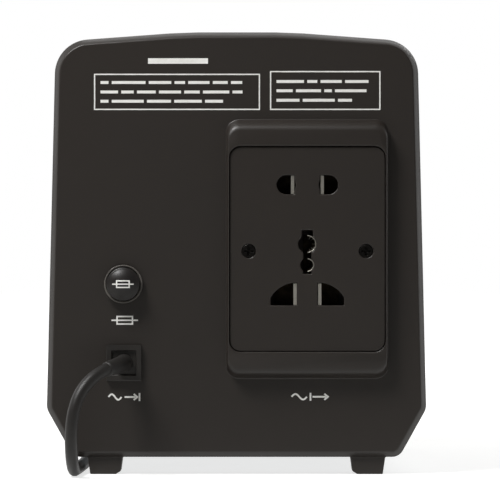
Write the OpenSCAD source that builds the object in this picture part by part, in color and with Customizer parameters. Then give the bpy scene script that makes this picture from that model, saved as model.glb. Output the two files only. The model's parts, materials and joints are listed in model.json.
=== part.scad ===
// Relay-type voltage stabilizer, desk model: a steel sleeve between two moulded end panels.
// Millimetres. +Z is up and z = 0 is the floor. The rear panel faces -Y and the front fascia +Y.
// The origin is on the floor, midway between the ends. Supply cord, coil and plug lie beside it.

/* [Body outline] */
// Width of the end panels at their widest point
body_w = 152; // [140:1:170]
// Height from the floor to the top of the arch
body_h = 177; // [172:1:200]
// Distance between the outer faces of the two end panels
case_d = 204; // [200:1:250]
// Height of the moulded feet
foot_h = 6.9; // [6.5:0.1:9]
// How far the bottom edge's corners lie inside the widest point, on each side
base_in = 10.8; // [8:0.1:12]
// Height of the widest point above the floor
hip_z = 26.2; // [24:0.1:29]
// How far the shoulder's corners lie inside the widest point, on each side
shoulder_in = 3.5; // [1.5:0.1:6]
// How far the shoulder corners lie below the top of the arch
arch_rise = 3.8; // [2.5:0.1:6]
// Width of the level middle of the arch
arch_flat_w = 42; // [20:1:60]
// Radius of the corners at the bottom edge
base_r = 5; // [4.5:0.5:7]
// Radius of the corners at the widest point
hip_r = 6; // [5:0.5:9]
// Radius of the shoulders
shoulder_r = 14; // [8:0.5:20]
// Radius where the arch becomes level
arch_r = 150; // [60:5:160]

/* [End panels] */
// Wall of the panel's face
panel_t = 3; // [2.5:0.1:3.5]
// Seen width of the bevel round the face
bevel_w = 2.2; // [1.5:0.1:2.6]
// Depth of that bevel
bevel_d = 2.4; // [1.5:0.1:2.5]
// Wall of the skirt that takes the sleeve
skirt_t = 2.2; // [1.8:0.1:2.6]
// Depth from the panel's face to the skirt's edge
skirt_d = 14; // [12:0.5:18]
// How far a foot's outer face lies inside the body's widest point, at its top
foot_side_in = 16.2; // [15:0.1:18]
// Width of a foot at its top
foot_top_w = 14.3; // [12:0.1:16]
// Draft of a foot's outer face
foot_out_draft = 1.2; // [0.6:0.1:2]
// Draft of a foot's inner face
foot_in_draft = 0.9; // [0.5:0.1:2]
// Width of the corner cut from a foot's inner edge
foot_cut_w = 2; // [1:0.1:3]
// Height of that cut
foot_cut_h = 1.2; // [0.6:0.1:2]
// How far the bosses that hold the chassis lie inside the body's widest point
end_boss_in = 41; // [36:1:46]
// Length of those bosses
end_boss_l = 4; // [3:0.1:5]
// Radius of the bosses for screws
boss_r = 3.5; // [3.2:0.1:4]

/* [Sleeve] */
// Steel sheet of the cover and the chassis
sheet_t = 1; // [0.8:0.1:1.2]
// Gap between the panels' skirts and the sleeve
skirt_fit = 0.3; // [0.2:0.05:0.5]
// Height of the seam between cover and chassis
seam_z = 24; // [23:0.5:26]
// Height of the chassis flange behind the cover
flange_h = 16; // [14:0.5:20]
// Number of vent slots in each side
vent_count = 14; // [6:1:16]
// Width of a vent slot
vent_w = 3; // [2:0.1:3.5]
// Height of a vent slot
vent_h = 40; // [20:1:60]
// Distance between neighbouring vent slots
vent_pitch = 9; // [7:0.5:10]
// Height of the middle of the vent slots
vent_z = 104; // [90:1:120]
// Distance between the outer cover screws along one side
cover_screw_span = 150; // [120:1:156]

/* [Output socket] */
// Middle of the socket, to the right of the panel's middle
socket_x = 28.3; // [26:0.1:30]
// Middle of the socket above the floor
socket_z = 90.2; // [88:0.1:94]
// Width of the raised housing
housing_w = 64.6; // [64:0.1:67]
// Height of the raised housing
housing_h = 103.3; // [100:0.1:106]
// How far the housing stands out of the panel
housing_out = 6; // [5:0.1:7]
// Corner radius of the housing
housing_r = 5; // [3:0.1:8]
// Draft of the housing's long sides
housing_side_draft = 0.3; // [0.1:0.1:0.4]
// Slope of the housing's top and bottom
housing_end_draft = 2.4; // [1:0.1:4]
// Rounding of the housing's edge at its top and bottom
housing_end_round = 2; // [1:0.1:3]
// Rounding of the housing's edge along its sides
housing_side_round = 0.6; // [0.3:0.1:0.7]
// Width of the socket plate
plate_w = 62; // [60:0.1:62.4]
// Height of the socket plate
plate_h = 81.6; // [78:0.1:84]
// Thickness of the socket plate
plate_t = 3; // [2.5:0.1:3.2]
// Corner radius of the socket plate
plate_r = 4.4; // [3:0.1:6]
// How far the plate lies below the housing's face
plate_sink = 0.8; // [0.4:0.1:1.2]
// Distance between the two plate screws
plate_screw_span = 46.8; // [46.4:0.1:48]
// How far the plate screws lie below the socket's middle
plate_screw_drop = 0.8; // [0:0.1:2]
// Inner edge of the two upper openings, from the middle
upper_in_x = 5.1; // [4.9:0.05:5.4]
// Outer edge of the two upper openings, from the middle
upper_out_x = 12.2; // [11.8:0.1:12.6]
// Height of the upper openings
upper_h = 7.6; // [7:0.1:8]
// Middle of the upper openings above the socket's middle
upper_rise = 25.6; // [24:0.1:26.5]
// Inner edge of the two lower openings, from the middle
lower_in_x = 4.1; // [4:0.05:4.3]
// Outer edge of the two lower openings, from the middle
lower_out_x = 14.6; // [14:0.1:15]
// Height of the lower openings
lower_h = 9.1; // [8.5:0.1:9.6]
// Bottom edge of the lower openings below the socket's middle
lower_drop = 22.5; // [22:0.1:23]
// Radius of the arched top of the lower openings
lower_arch_r = 12.2; // [11.8:0.1:13]
// Radius of the earth opening's large round part
earth_r = 3.65; // [3.4:0.05:3.8]
// Radius of the earth opening's small round part
earth_small_r = 2.8; // [2.6:0.05:2.9]
// Height of the large round part above the socket's middle
earth_rise = 2; // [1:0.1:2.5]
// Distance between the two round parts
earth_step = 8.4; // [8:0.1:8.8]
// Width of the earth opening's flat slot
earth_slot_w = 4.4; // [4.2:0.1:5]
// Height of the flat slot above the large round part
earth_slot_h = 5.5; // [4.5:0.1:6]
// Width of the insulator behind the plate
tray_w = 38.6; // [37:0.1:39]
// Height of the insulator behind the plate
tray_h = 69; // [66:0.1:70]
// Depth of the insulator behind the plate
tray_d = 19; // [16:0.1:21]
// Wall of the insulator
tray_t = 1.6; // [1.2:0.1:2]
// Thickness of the brass contact leaves
leaf_t = 1.4; // [1:0.1:1.6]

/* [Fuse holder] */
// Middle of the fuse holder, measured from the panel's middle
fuse_x = -45.2; // [-47:0.1:-43]
// Middle of the fuse holder above the floor
fuse_z = 76.2; // [74:0.1:80]
// Radius of the holder's flange
fuse_flange_r = 7.7; // [7.5:0.05:8.2]
// Thickness of the flange
fuse_flange_t = 1.6; // [1.2:0.1:2]
// Height of the raised rim of the flange
fuse_rim_h = 1.2; // [0.8:0.1:1.6]
// Radius of the holder's barrel
fuse_barrel_r = 5.9; // [5.8:0.05:6.1]
// Bore of the barrel, as a radius
fuse_bore_r = 4.4; // [4.3:0.05:4.6]
// Length of the barrel behind the panel's outer face
fuse_barrel_l = 32; // [31:0.5:34]
// Radius of the cap's head
fuse_cap_r = 6.65; // [6.4:0.05:6.7]
// How far the crown of the cap stands out of the panel
fuse_cap_out = 7.5; // [7:0.1:8.5]
// Length of the glass fuse
fuse_l = 20; // [19.5:0.1:20.5]
// Radius of the metal ends of the fuse
fuse_r = 2.6; // [2.55:0.05:2.65]
// How far the fuse and its cap pull out
fuse_pull = 32; // [30:1:36]

/* [Supply cord] */
// Middle of the cord bushing, measured from the panel's middle
bushing_x = -45; // [-46:0.1:-44]
// Middle of the cord bushing above the floor
bushing_z = 44.7; // [44:0.1:46]
// Width of the bushing's flange
bushing_w = 14; // [13:0.1:15]
// Height of the bushing's flange
bushing_h = 14.4; // [13:0.1:15]
// Thickness of the bushing's flange
bushing_out = 2.4; // [2:0.1:3]
// Width of the recess in the flange
bushing_recess_w = 9.6; // [9:0.1:10]
// Diameter of the cord
cord_d = 5; // [4.6:0.1:5.2]
// Radius of the strain relief where it leaves the bushing
relief_r = 3.6; // [3.2:0.1:4]
// Radius of the strain relief at its thin end
relief_tip_r = 2.9; // [2.7:0.1:3]
// Distance between the turns of the coil
coil_pitch = 5.6; // [5.5:0.1:6]
// Middle radius of the coil's turns
coil_mid_r = 29.6; // [28:0.1:30]
// Number of turns in each of the coil's two layers
coil_turns = 3; // [2:1:4]
// Free space between the fascia and the coil
coil_gap = 8; // [6:1:20]

/* [Plug] */
// Width of the plug's body
plug_w = 34; // [32:0.5:38]
// Height of the plug's body as it lies
plug_h = 27; // [25:0.5:30]
// Length of the plug's body
plug_l = 30; // [26:0.5:36]
// Length of the plug's cord sleeve
plug_sleeve_l = 22; // [20:0.5:30]
// Length of the plug's pins
pin_l = 17; // [16:0.1:18]

/* [Transformer] */
// Width of the laminated core
core_w = 96; // [90:0.5:100]
// Thickness of the stack of laminations
stack_t = 40; // [34:0.5:44]
// Middle of the core along the case
core_y = -22; // [-26:0.5:-18]
// Wall of the bobbin's tube
bobbin_t = 1.2; // [1:0.1:2]
// Sheet of the core's foot brackets
bracket_t = 2; // [1.5:0.1:2.5]
// Height of the foot brackets
bracket_h = 13; // [12:0.5:14]
// How far the foot brackets reach along the chassis
bracket_foot = 12; // [11:0.5:14]

/* [Control board] */
// Width of the control board
board_w = 104; // [96:1:108]
// Length of the control board
board_l = 58; // [54:1:62]
// Middle of the control board along the case
board_y = 55; // [52:0.5:58]
// Thickness of the circuit boards
board_t = 1.6; // [1.2:0.1:2]
// Height of the standoffs under the control board
standoff_h = 6; // [5:0.5:8]
// Number of relays
relay_count = 4; // [3:1:5]
// Width of a relay
relay_w = 15.4; // [14:0.1:16]
// Length of a relay
relay_l = 19; // [18:0.1:20]
// Height of a relay
relay_h = 15.5; // [14:0.1:17]

/* [Front fascia] */
// Width of the display window
window_w = 96; // [90:1:100]
// Height of the display window
window_h = 38; // [34:1:40]
// Height of the display window's middle, as a share of the body's height
window_z_share = 0.706; // [0.69:0.001:0.72]
// Thickness of the window lens
lens_t = 2; // [1.5:0.1:2.2]
// Gap between the fascia and the display board
display_gap = 8; // [7.5:0.1:10]
// Distance of the power switch from the middle
switch_x = -30; // [-34:0.5:-26]
// Height of the switch and the delay button, as a share of the body's height
switch_z_share = 0.339; // [0.33:0.001:0.35]
// Width of the switch's bezel
switch_bezel_w = 26; // [25.5:0.1:28]
// Height of the switch's bezel
switch_bezel_h = 31.6; // [31:0.1:34]
// Width of the rocker
rocker_w = 20; // [18:0.1:20.4]
// Radius on which the rocker's ends turn
rocker_r = 12.5; // [11.5:0.1:12.8]
// Tilt of the rocker to each side, in degrees
rocker_tilt = 10; // [8:1:12]
// Distance of the delay button from the middle
delay_x = 30; // [26:0.5:34]
// Radius of the delay button
delay_r = 4; // [3.5:0.1:4.5]
// How far the delay button stands out of its bezel
delay_out = 2.4; // [2:0.1:3]
// Travel of the delay button
delay_travel = 2; // [1.5:0.1:2.5]
// Radius of the indicator lamps
lamp_r = 1.5; // [1.4:0.05:1.6]
// Distance between neighbouring indicator lamps
lamp_pitch = 22; // [18:0.5:24]

/* [Screws] */
// Radius of the small screws' shanks
screw_r = 1.45; // [1.3:0.05:1.5]
// Radius of the small screws' heads
screw_head_r = 2.7; // [2.5:0.05:2.8]
// Height of the small screws' heads
screw_head_h = 1.7; // [1.4:0.1:2]
// Length of the cross recess in a screw's head
cross_l = 3.4; // [3:0.1:4]
// Width of the cross recess
cross_w = 0.9; // [0.7:0.1:1]
// Depth of the cross recess
cross_d = 1; // [0.8:0.1:1.2]

/* [Hidden] */
$fn = 48;
hull_fn = 32;

// Overrun of every cut, thickness of a hull's slabs, and the clearances used all through.
over = 1;
skin = 0.01;
fit = 0.3;
slim_fit = 0.1;
arc_step = 7;
small_r = 0.4;

// Outline of an end panel, set in by d on every side.
function unit(v) = v / norm(v);
function left_of(a, b) = let(u = unit(b - a)) [-u[1], u[0]];
function set_in(a, b, c, d) = let(m = left_of(a, b), n = left_of(b, c)) b + (m + n) * d / (1 + m * n);
function turned(v, a) = [v[0] * cos(a) - v[1] * sin(a), v[0] * sin(a) + v[1] * cos(a)];
function corner_arc(a, b, c, r) =
    let(u = unit(a - b), v = unit(c - b), inner = acos(u * v), reach = r / tan(inner / 2),
        middle = b + unit(u + v) * r / sin(inner / 2), n = max(1, ceil((180 - inner) / arc_step)))
    [for (i = [0:n]) middle + turned(b + u * reach - middle, i * (180 - inner) / n)];
foot_out_x = body_w / 2 - foot_side_in;
arch_half = arch_flat_w / 2;
shoulder_z = body_h - arch_rise;
half_corners = [[body_w / 2 - base_in, foot_h], [body_w / 2, hip_z],
    [body_w / 2 - shoulder_in, shoulder_z],
    [arch_half, body_h]];
half_radii = [base_r, hip_r, shoulder_r, arch_r];
corners = concat(half_corners, [for (i = [3:-1:0]) [-half_corners[i][0], half_corners[i][1]]]);
radii = concat(half_radii, [for (i = [3:-1:0]) half_radii[i]]);
function outline(d) =
    let(n = len(corners), p = [for (i = [0:n - 1])
        set_in(corners[(i + n - 1) % n], corners[i], corners[(i + 1) % n], d)])
    [for (i = [0:n - 1]) each
        corner_arc(p[(i + n - 1) % n], p[i], p[(i + 1) % n], max(radii[i] - d, small_r))];

// Places along the case. The rear panel's outer face is at rear_y and the fascia's at front_y.
rocker_pivot = 7;
rocker_crown = 6.5;
rocker_half = let(s = tan(rocker_tilt), a = 1 + s * s, b = rocker_crown * s)
    (sqrt(b * b - a * (rocker_crown * rocker_crown - rocker_r * rocker_r)) - b) / a;
rocker_reach = rocker_half * sin(rocker_tilt)
    + (rocker_crown + rocker_half * tan(rocker_tilt)) * cos(rocker_tilt) - rocker_pivot;
delay_bezel_t = 1.6;
front_reach = max(rocker_reach, delay_bezel_t + delay_out);
rear_reach = max(fuse_cap_out, housing_out);
rear_y = (rear_reach - front_reach - case_d) / 2;
front_y = rear_y + case_d;

// The sleeve. The chassis floor's upper face is the deck.
sleeve_in = skirt_t + skirt_fit;
deck_z = foot_h + sleeve_in + sheet_t;
sleeve_y0 = rear_y + panel_t + fit;
sleeve_y1 = front_y - panel_t - fit;
lean = atan(shoulder_in / (shoulder_z - hip_z));
function side_x(z, d) = body_w / 2 - (z - hip_z) * tan(lean) - d / cos(lean);
joggle_h = 3;
lap = 2 * sheet_t + slim_fit;
cover_screw_z = seam_z + flange_h / 2;
cover_screw_l = 6;
end_boss_x = body_w / 2 - end_boss_in;
end_boss_z = deck_z + boss_r + 3 * sheet_t;
end_tab_w = 14;
end_tab_h = end_boss_z - deck_z + boss_r;
end_tab_y0 = panel_t + end_boss_l;
panel_screw_l = end_boss_l + sheet_t;

// The socket, measured inwards from the rear panel's face.
plate_y = plate_sink - housing_out;
plate_back = plate_y + plate_t;
plate_fit = 0.2;
tray_back = plate_back + tray_d;
plate_boss_l = 6;
plate_sink_d = 1.8;
leaf_front = plate_y + plate_sink;
outer_leaf_t = 0.8;
outer_leaf_x = upper_out_x + slim_fit;
spine_t = 1;
tab_w = 6.3;
tab_t = 0.8;
tab_l = 8;
lower_mid = -lower_drop + lower_h / 2;
earth_leaf_t = 0.9;
earth_leaf_r = earth_r - slim_fit;
earth_small_leaf_r = earth_small_r - slim_fit;
earth_lip = 0.3;
earth_flare = 5;
earth_throat_share = 0.5;
waist_w = 3.2;
earth_foot = 0.8;

// The fuse holder, measured inwards from the rear panel's face.
fuse_rim_t = 0.9;
fuse_seat = -fuse_flange_t - slim_fit;
fuse_dome = 2.2;
fuse_stem_l = 5;
fuse_stem_r = fuse_bore_r - fit;
fuse_cup_r = fuse_r + 0.5;
fuse_cup_l = 10;
fuse_cup_t = 0.4;
fuse_stem_bore_r = fuse_cup_r + fit;
fuse_y0 = fit + fuse_cup_t;
fuse_y1 = fuse_y0 + fuse_l;
fuse_end_l = 5.5;
fuse_glass_r = 2.45;
fuse_glass_bore_r = 2;
fuse_wire_r = 0.2;
contact_disc_r = 3.4;
contact_disc_t = 0.8;
contact_stem_r = 1.5;
barrel_floor = 4;
fuse_tab = 4;
fuse_ring_y = 6.6;
fuse_ring_l = 2.8;
fuse_side_reach = 6;
fuse_side_y = fuse_ring_y + fuse_ring_l / 2;
nut_t = 3;
nut_r = 8.6;

// The cord bushing, measured inwards from the rear panel's face.
bushing_recess_d = 1.2;
bushing_body_w = 11.6;
bushing_body_l = panel_t + 9;
barb_out = 0.6;
barb_l = 4;
inner_cord_l = bushing_body_l + 4;

cord_sides = 8;
relief_sides = 12;
cord_r = cord_d / 2;

// The coil is one tube in two layers.
coil_sides = 6;
coil_rings = 24;
coil_half = (coil_turns + 0.5) * coil_pitch / 2;
coil_in = coil_mid_r - coil_half;
coil_turn_in = 360 * (coil_turns + 0.5);
coil_out = coil_in + coil_pitch * coil_turn_in / 360;
coil_lead = cord_d;

// The cord's route leaves the bushing along points chosen by hand. The relief covers its first part.
route_start = [bushing_x, rear_y + bushing_recess_d - bushing_out, bushing_z];
drop_route = [[-45, -109.2, 44.7], [-46.9, -116.9, 44.2], [-51.2, -123.6, 42.7],
    [-56.5, -128.5, 39.4], [-61, -131.9, 33.7], [-63.6, -133.5, 26.4], [-64.6, -132.8, 18.5],
    [-64.7, -129.4, 11.3], [-64.5, -123.6, 5.9], [-64.2, -116.2, 2.9], [-63.9, -108.3, 2.5],
    [-63.5, -98, 2.5], [-63.1, -86, 2.5], [-62.7, -74, 2.5], [-62.5, -62, 2.5]];
relief_last = 3;
run_rings = 14;
run_start = drop_route[len(drop_route) - 1];
run_end_y = front_y + coil_gap + coil_out + cord_r - coil_lead;
cord_route = concat([route_start], drop_route, [for (i = [1:run_rings])
    [run_start[0], run_start[1] + (run_end_y - run_start[1]) * i / run_rings, cord_r]]);

// Where the coil lies and how it winds: in on the lower layer and out again on the upper one.
coil_start = cord_route[len(cord_route) - 1];
coil_centre = [coil_start[0] + coil_out, coil_start[1] + coil_lead];
coil_low = cord_r;
coil_rise = coil_pitch;
coil_end_angle = 2 * coil_turn_in - 270;
function coil_radius(a) = coil_in + coil_pitch * abs(coil_turn_in - a) / 360;
function coil_height(a) =
    coil_low + coil_rise * max(0, min(1, (a - coil_turn_in + 90) / 180));
function coil_point(a) =
    [coil_centre[0] - coil_radius(a) * cos(a), coil_centre[1] + coil_radius(a) * sin(a),
        coil_height(a)];
coil_winding = [for (i = [0:coil_end_angle * coil_rings / 360]) coil_point(i * 360 / coil_rings)];
coil_last = coil_winding[len(coil_winding) - 1];
plug_axis_z = plug_h / 2;
tail_steps = 6;
tail_l = 34;
tail_rise = plug_axis_z - coil_last[2];
tail = concat([for (i = [1:tail_steps]) let(t = i / tail_steps)
    coil_last + [(tail_l - coil_lead) * t, 0, tail_rise * t * t * (3 - 2 * t)]],
    [coil_last + [tail_l, 0, tail_rise]]);
coil_points = concat([coil_start], coil_winding, tail);

// The least distance between the skins of turns that lie beside or on each other.
coil_gap_low = min([for (i = [0:len(coil_winding) - 1], j = [i + coil_rings / 2:len(coil_winding) - 1])
    norm(coil_winding[i] - coil_winding[j])]) - cord_d;
echo(least_gap_of_the_coil = coil_gap_low);

// The plug lies at the coil's end and points along +X.
plug_at = coil_points[len(coil_points) - 1];
plug_sleeve_r = 4.6;
plug_sleeve_tip_r = 2.9;
plug_edge_r = 6;
plug_face_t = 3;
plug_taper = 3;
pin_w = 6.3;
pin_t = 1.6;
pin_root = 2;
pin_reach_r = 7.9;
earth_pin_r = 10.3;
pin_slant = 30;

// The transformer's proportions are those of a common E and I lamination.
leg_share = 1 / 3;
side_share = 1 / 6;
window_share = 1 / 2;
leg_w = core_w * leg_share;
side_w = core_w * side_share;
core_window_h = core_w * window_share;
core_h = core_window_h + 2 * side_w;
core_bolt_r = 2.4;
core_bolt_head_r = 4.4;
core_bolt_head_h = 3.5;
thread_out = 1.5;
core_bolt_x = (core_w - side_w) / 2;
core_bolt_low = deck_z + side_w / 2;
core_bolt_high = deck_z + core_h - side_w / 2;
bobbin_x = leg_w / 2 + fit + bobbin_t;
bobbin_y = stack_t / 2 + fit + bobbin_t;
winding_in = 0.6;
winding_r = 7;
winding_y = bobbin_y + side_w - 4 * bobbin_t;
bracket_screw_x = core_w / 2 - side_w;
deck_screw_l = 5;

// The control board and what stands on it.
board_z = deck_z + standoff_h;
board_top = board_z + board_t;
hole_inset = 5;
standoff_r = 3;
board_screw_l = 6;
relay_pitch = (board_w - 4 * hole_inset) / relay_count;
relay_y = board_y - board_l / 2 + hole_inset + relay_l / 2;
cap_places_shares = [[-0.28, 0.22], [-0.1, 0.22], [0.36, 0.2]];
cap_radii = [6.5, 6.5, 4];
cap_heights = [21, 21, 12];
block_side_in = 34;
stud_side_in = 32;
chip_w = 30;
chip_l = 9;
chip_h = 4;
chip_x_share = 0.14;
chip_y_share = 0.24;
header_w = 84;
header_l = 6;
header_h = 9;
header_y = relay_y + relay_l / 2 + header_l;
block_x = block_side_in - body_w / 2;
block_y = 24;
block_w = 26;
block_l = 14;
block_h = 16;
block_way = block_w / 3;
block_well_r = 2.2;
block_well_d = 6;
block_row = 3.5;
block_ear_w = 6;
block_ear_t = 3;
block_screw_x = (block_w + block_ear_w) / 2;
stud_x = body_w / 2 - stud_side_in;
stud_y = 24;
stud_r = 2;
stud_l = 14;
stud_nut_r = 4;
stud_nut_t = 3;

// The front fascia, measured inwards from its face.
window_z = body_h * window_z_share;
switch_z = body_h * switch_z_share;
lens_ledge = 2;
lens_fit = 0.1;
display_w = window_w + 3 * boss_r;
display_low = window_z - window_h / 2 - 16;
display_high = window_z + window_h / 2 + 8;
display_y = panel_t + display_gap;
display_boss_x = display_w / 2 - hole_inset;
display_boss_low = display_low + hole_inset;
display_boss_high = display_high - hole_inset;
display_screw_l = 6;
digit_w = 38;
digit_h = 20;
digit_d = 7;
digit_x = 21.5;
lamp_z = window_z - window_h / 2 - 9;
lamp_out = 0.6;
lamp_base_r = 2.2;
lamp_base_t = 1;
switch_bezel_t = 1.6;
switch_wall = 1.2;
rocker_back = 2.5;
rocker_gap = 0.7;
switch_d = 24;
pivot_r = 1.5;
pivot_gap = 0.06;
pivot_l = 0.8;
switch_body_w = rocker_w + 2 * fit + 2 * switch_wall;
switch_body_h = 2 * (rocker_r + fit + switch_wall);
rocker_deep = rocker_pivot + rocker_back * cos(rocker_tilt) + rocker_r * sin(rocker_tilt) + rocker_gap;
barb_in = 4;
switch_tab_x = 6;
switch_tab_z = 7;
delay_barrel_r = 6;
delay_bezel_r = 8.2;
delay_barrel_l = 18;
delay_stem_l = 9;

// Extrusions and rods along the row axes.
module along_y(y0, y1) translate([0, y1, 0]) rotate([90, 0, 0]) linear_extrude(y1 - y0) children();
module along_x(x0, x1) translate([x0, 0, 0]) rotate([90, 0, 90]) linear_extrude(x1 - x0) children();
module y_rod(x, z, y0, y1, r) translate([x, y0, z]) rotate([-90, 0, 0]) cylinder(h = y1 - y0, r = r);
module x_rod(y, z, x0, x1, r) translate([x0, y, z]) rotate([0, 90, 0]) cylinder(h = x1 - x0, r = r);
module z_rod(x, y, z0, z1, r) translate([x, y, z0]) cylinder(h = z1 - z0, r = r);
module span(lo, hi) translate(lo) cube(hi - lo);
module two_sides() for (m = [0, 1]) mirror([m, 0, 0]) children();
module at_rear() translate([0, rear_y, 0]) children();
module at_front() translate([0, front_y, 0]) mirror([0, 1, 0]) children();
module plain_rect(w, h) square([w, h], center = true);
module cross_recess() translate([0, 0, -cross_d]) linear_extrude(cross_d + over) {
    plain_rect(cross_l, cross_w);
    plain_rect(cross_w, cross_l);
}
module soft_rect(w, h, r) {
    plain_rect(w - 2 * r, h);
    plain_rect(w, h - 2 * r);
    for (x = [-1, 1], z = [-1, 1]) translate([x * (w / 2 - r), z * (h / 2 - r)]) circle(r);
}

// A small screw: the top of its head is at z = 0, and its shank ends length below the head.
module small_screw(length) difference() {
    union() {
        z_rod(0, 0, -screw_head_h, 0, screw_head_r);
        z_rod(0, 0, -screw_head_h - length, skin - screw_head_h, screw_r);
    }
    cross_recess();
}

// A tube along given points: rings stay square to it and are carried along without twist.
function heading(p, i) = unit(p[min(i + 1, len(p) - 1)] - p[max(i - 1, 0)]);
function square_to(v, t) = unit(v - t * (v * t));
function sides_of(p, first) =
    [for (i = 0, v = square_to(first, heading(p, 0)); i < len(p);
        i = i + 1, v = i < len(p) ? square_to(v, heading(p, i)) : v) v];
module tube(p, from, to, r0, r1, n, first) {
    side = sides_of(p, first);
    last = to - from;
    points = [for (i = [from:to])
        let(t = heading(p, i), u = side[i], w = cross(t, u), r = r0 + (r1 - r0) * (i - from) / last)
        each [for (k = [0:n - 1]) p[i] + r * (cos(360 * k / n) * u + sin(360 * k / n) * w)]];
    walls = [for (i = [0:last - 1], k = [0:n - 1]) let(a = i * n + k, b = i * n + (k + 1) % n)
        each [[a, a + n, b + n], [a, b + n, b]]];
    ends = [for (k = [1:n - 2]) each [[0, k, k + 1], [last * n, last * n + k + 1, last * n + k]]];
    polyhedron(points, concat(walls, ends));
}

// One moulded end panel, without its own openings, from its outer face at y = 0 inwards.
module foot() {
    inner = foot_out_x - foot_top_w;
    polygon([[inner, foot_h + skirt_t / 2], [inner + foot_in_draft, foot_cut_h],
        [inner + foot_in_draft + foot_cut_w, 0], [foot_out_x - foot_out_draft, 0],
        [foot_out_x, foot_h + skirt_t / 2]]);
}
module panel_blank() {
    hull() {
        along_y(0, skin) polygon(outline(bevel_w));
        along_y(bevel_d, panel_t) polygon(outline(0));
    }
    along_y(bevel_d, skirt_d) difference() {
        polygon(outline(0));
        polygon(outline(skirt_t));
    }
    two_sides() along_y(bevel_d, skirt_d) foot();
    two_sides() difference() {
        y_rod(end_boss_x, end_boss_z, panel_t - slim_fit, panel_t + end_boss_l, boss_r);
        y_rod(end_boss_x, end_boss_z, panel_t, panel_t + end_boss_l + over, screw_r + slim_fit);
    }
}

// Rear panel
module socket_area() translate([socket_x, 0, socket_z]) children();
module housing_slice(out, turn) along_y(-out, skin - out)
    soft_rect(housing_w - 2 * (housing_side_draft * out / housing_out + housing_side_round * turn),
        housing_h - 2 * (housing_end_draft * out / housing_out + housing_end_round * turn),
        housing_r, $fn = hull_fn);
module rear_panel() color("#33302d") at_rear() difference() {
    union() {
        panel_blank();
        socket_area() hull() {
            housing_slice(0, 0);
            for (a = [0:30:90]) housing_slice(housing_out - housing_end_round * (1 - sin(a)), 1 - cos(a));
        }
        socket_area() for (s = [-1, 1])
            y_rod(s * plate_screw_span / 2, -plate_screw_drop, 0, panel_t + plate_boss_l, boss_r);
    }
    socket_area() {
        along_y(-housing_out - over, plate_back)
            soft_rect(plate_w + 2 * plate_fit, plate_h + 2 * plate_fit, plate_r + plate_fit);
        along_y(plate_back - over, panel_t + over) plain_rect(tray_w + 2 * fit, tray_h + 2 * fit);
        for (s = [-1, 1])
            y_rod(s * plate_screw_span / 2, -plate_screw_drop, plate_back - over,
                panel_t + plate_boss_l + over, screw_r + slim_fit);
    }
    y_rod(fuse_x, fuse_z, -over, panel_t + over, fuse_barrel_r + slim_fit);
    translate([bushing_x, 0, bushing_z]) along_y(-over, panel_t + over)
        plain_rect(bushing_body_w + 2 * slim_fit, bushing_body_w + 2 * slim_fit);
}

// Socket plate, with its two upper openings, the earth opening and the two lower openings
module upper_opening() {
    end_r = upper_h / 2;
    translate([upper_in_x, -end_r]) square([upper_out_x - end_r - upper_in_x, upper_h]);
    translate([upper_out_x - end_r, 0]) circle(end_r);
}
module lower_opening() intersection() {
    square([lower_out_x - lower_in_x, lower_h]);
    translate([0, lower_h - lower_arch_r]) circle(lower_arch_r);
}
module earth_opening() {
    translate([0, earth_slot_h / 2]) plain_rect(earth_slot_w, earth_slot_h);
    circle(earth_r);
    translate([0, -earth_step / 2]) plain_rect(waist_w, earth_step);
    translate([0, -earth_step]) circle(earth_small_r);
    translate([0, -earth_step - earth_small_r / 2])
        plain_rect(waist_w, earth_small_r + 2 * earth_foot);
}
module socket_plate() color("#34312f") at_rear() socket_area() difference() {
    along_y(plate_y, plate_back) soft_rect(plate_w, plate_h, plate_r);
    two_sides() along_y(plate_y - over, plate_back + over) translate([0, upper_rise]) upper_opening();
    two_sides() along_y(plate_y - over, plate_back + over)
        translate([lower_in_x, -lower_drop]) lower_opening();
    along_y(plate_y - over, plate_back + over) translate([0, earth_rise]) earth_opening();
    for (s = [-1, 1]) {
        y_rod(s * plate_screw_span / 2, -plate_screw_drop, plate_y - over, plate_y + plate_sink_d,
            screw_head_r + slim_fit);
        y_rod(s * plate_screw_span / 2, -plate_screw_drop, plate_y, plate_back + over,
            screw_r + slim_fit);
    }
}
module socket_screws() color("#3a3a3c") at_rear() socket_area() for (s = [-1, 1])
    translate([s * plate_screw_span / 2, plate_y + plate_sink_d - screw_head_h, -plate_screw_drop])
        rotate([90, 0, 0]) small_screw(panel_t + plate_boss_l - plate_y - plate_sink_d);

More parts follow.
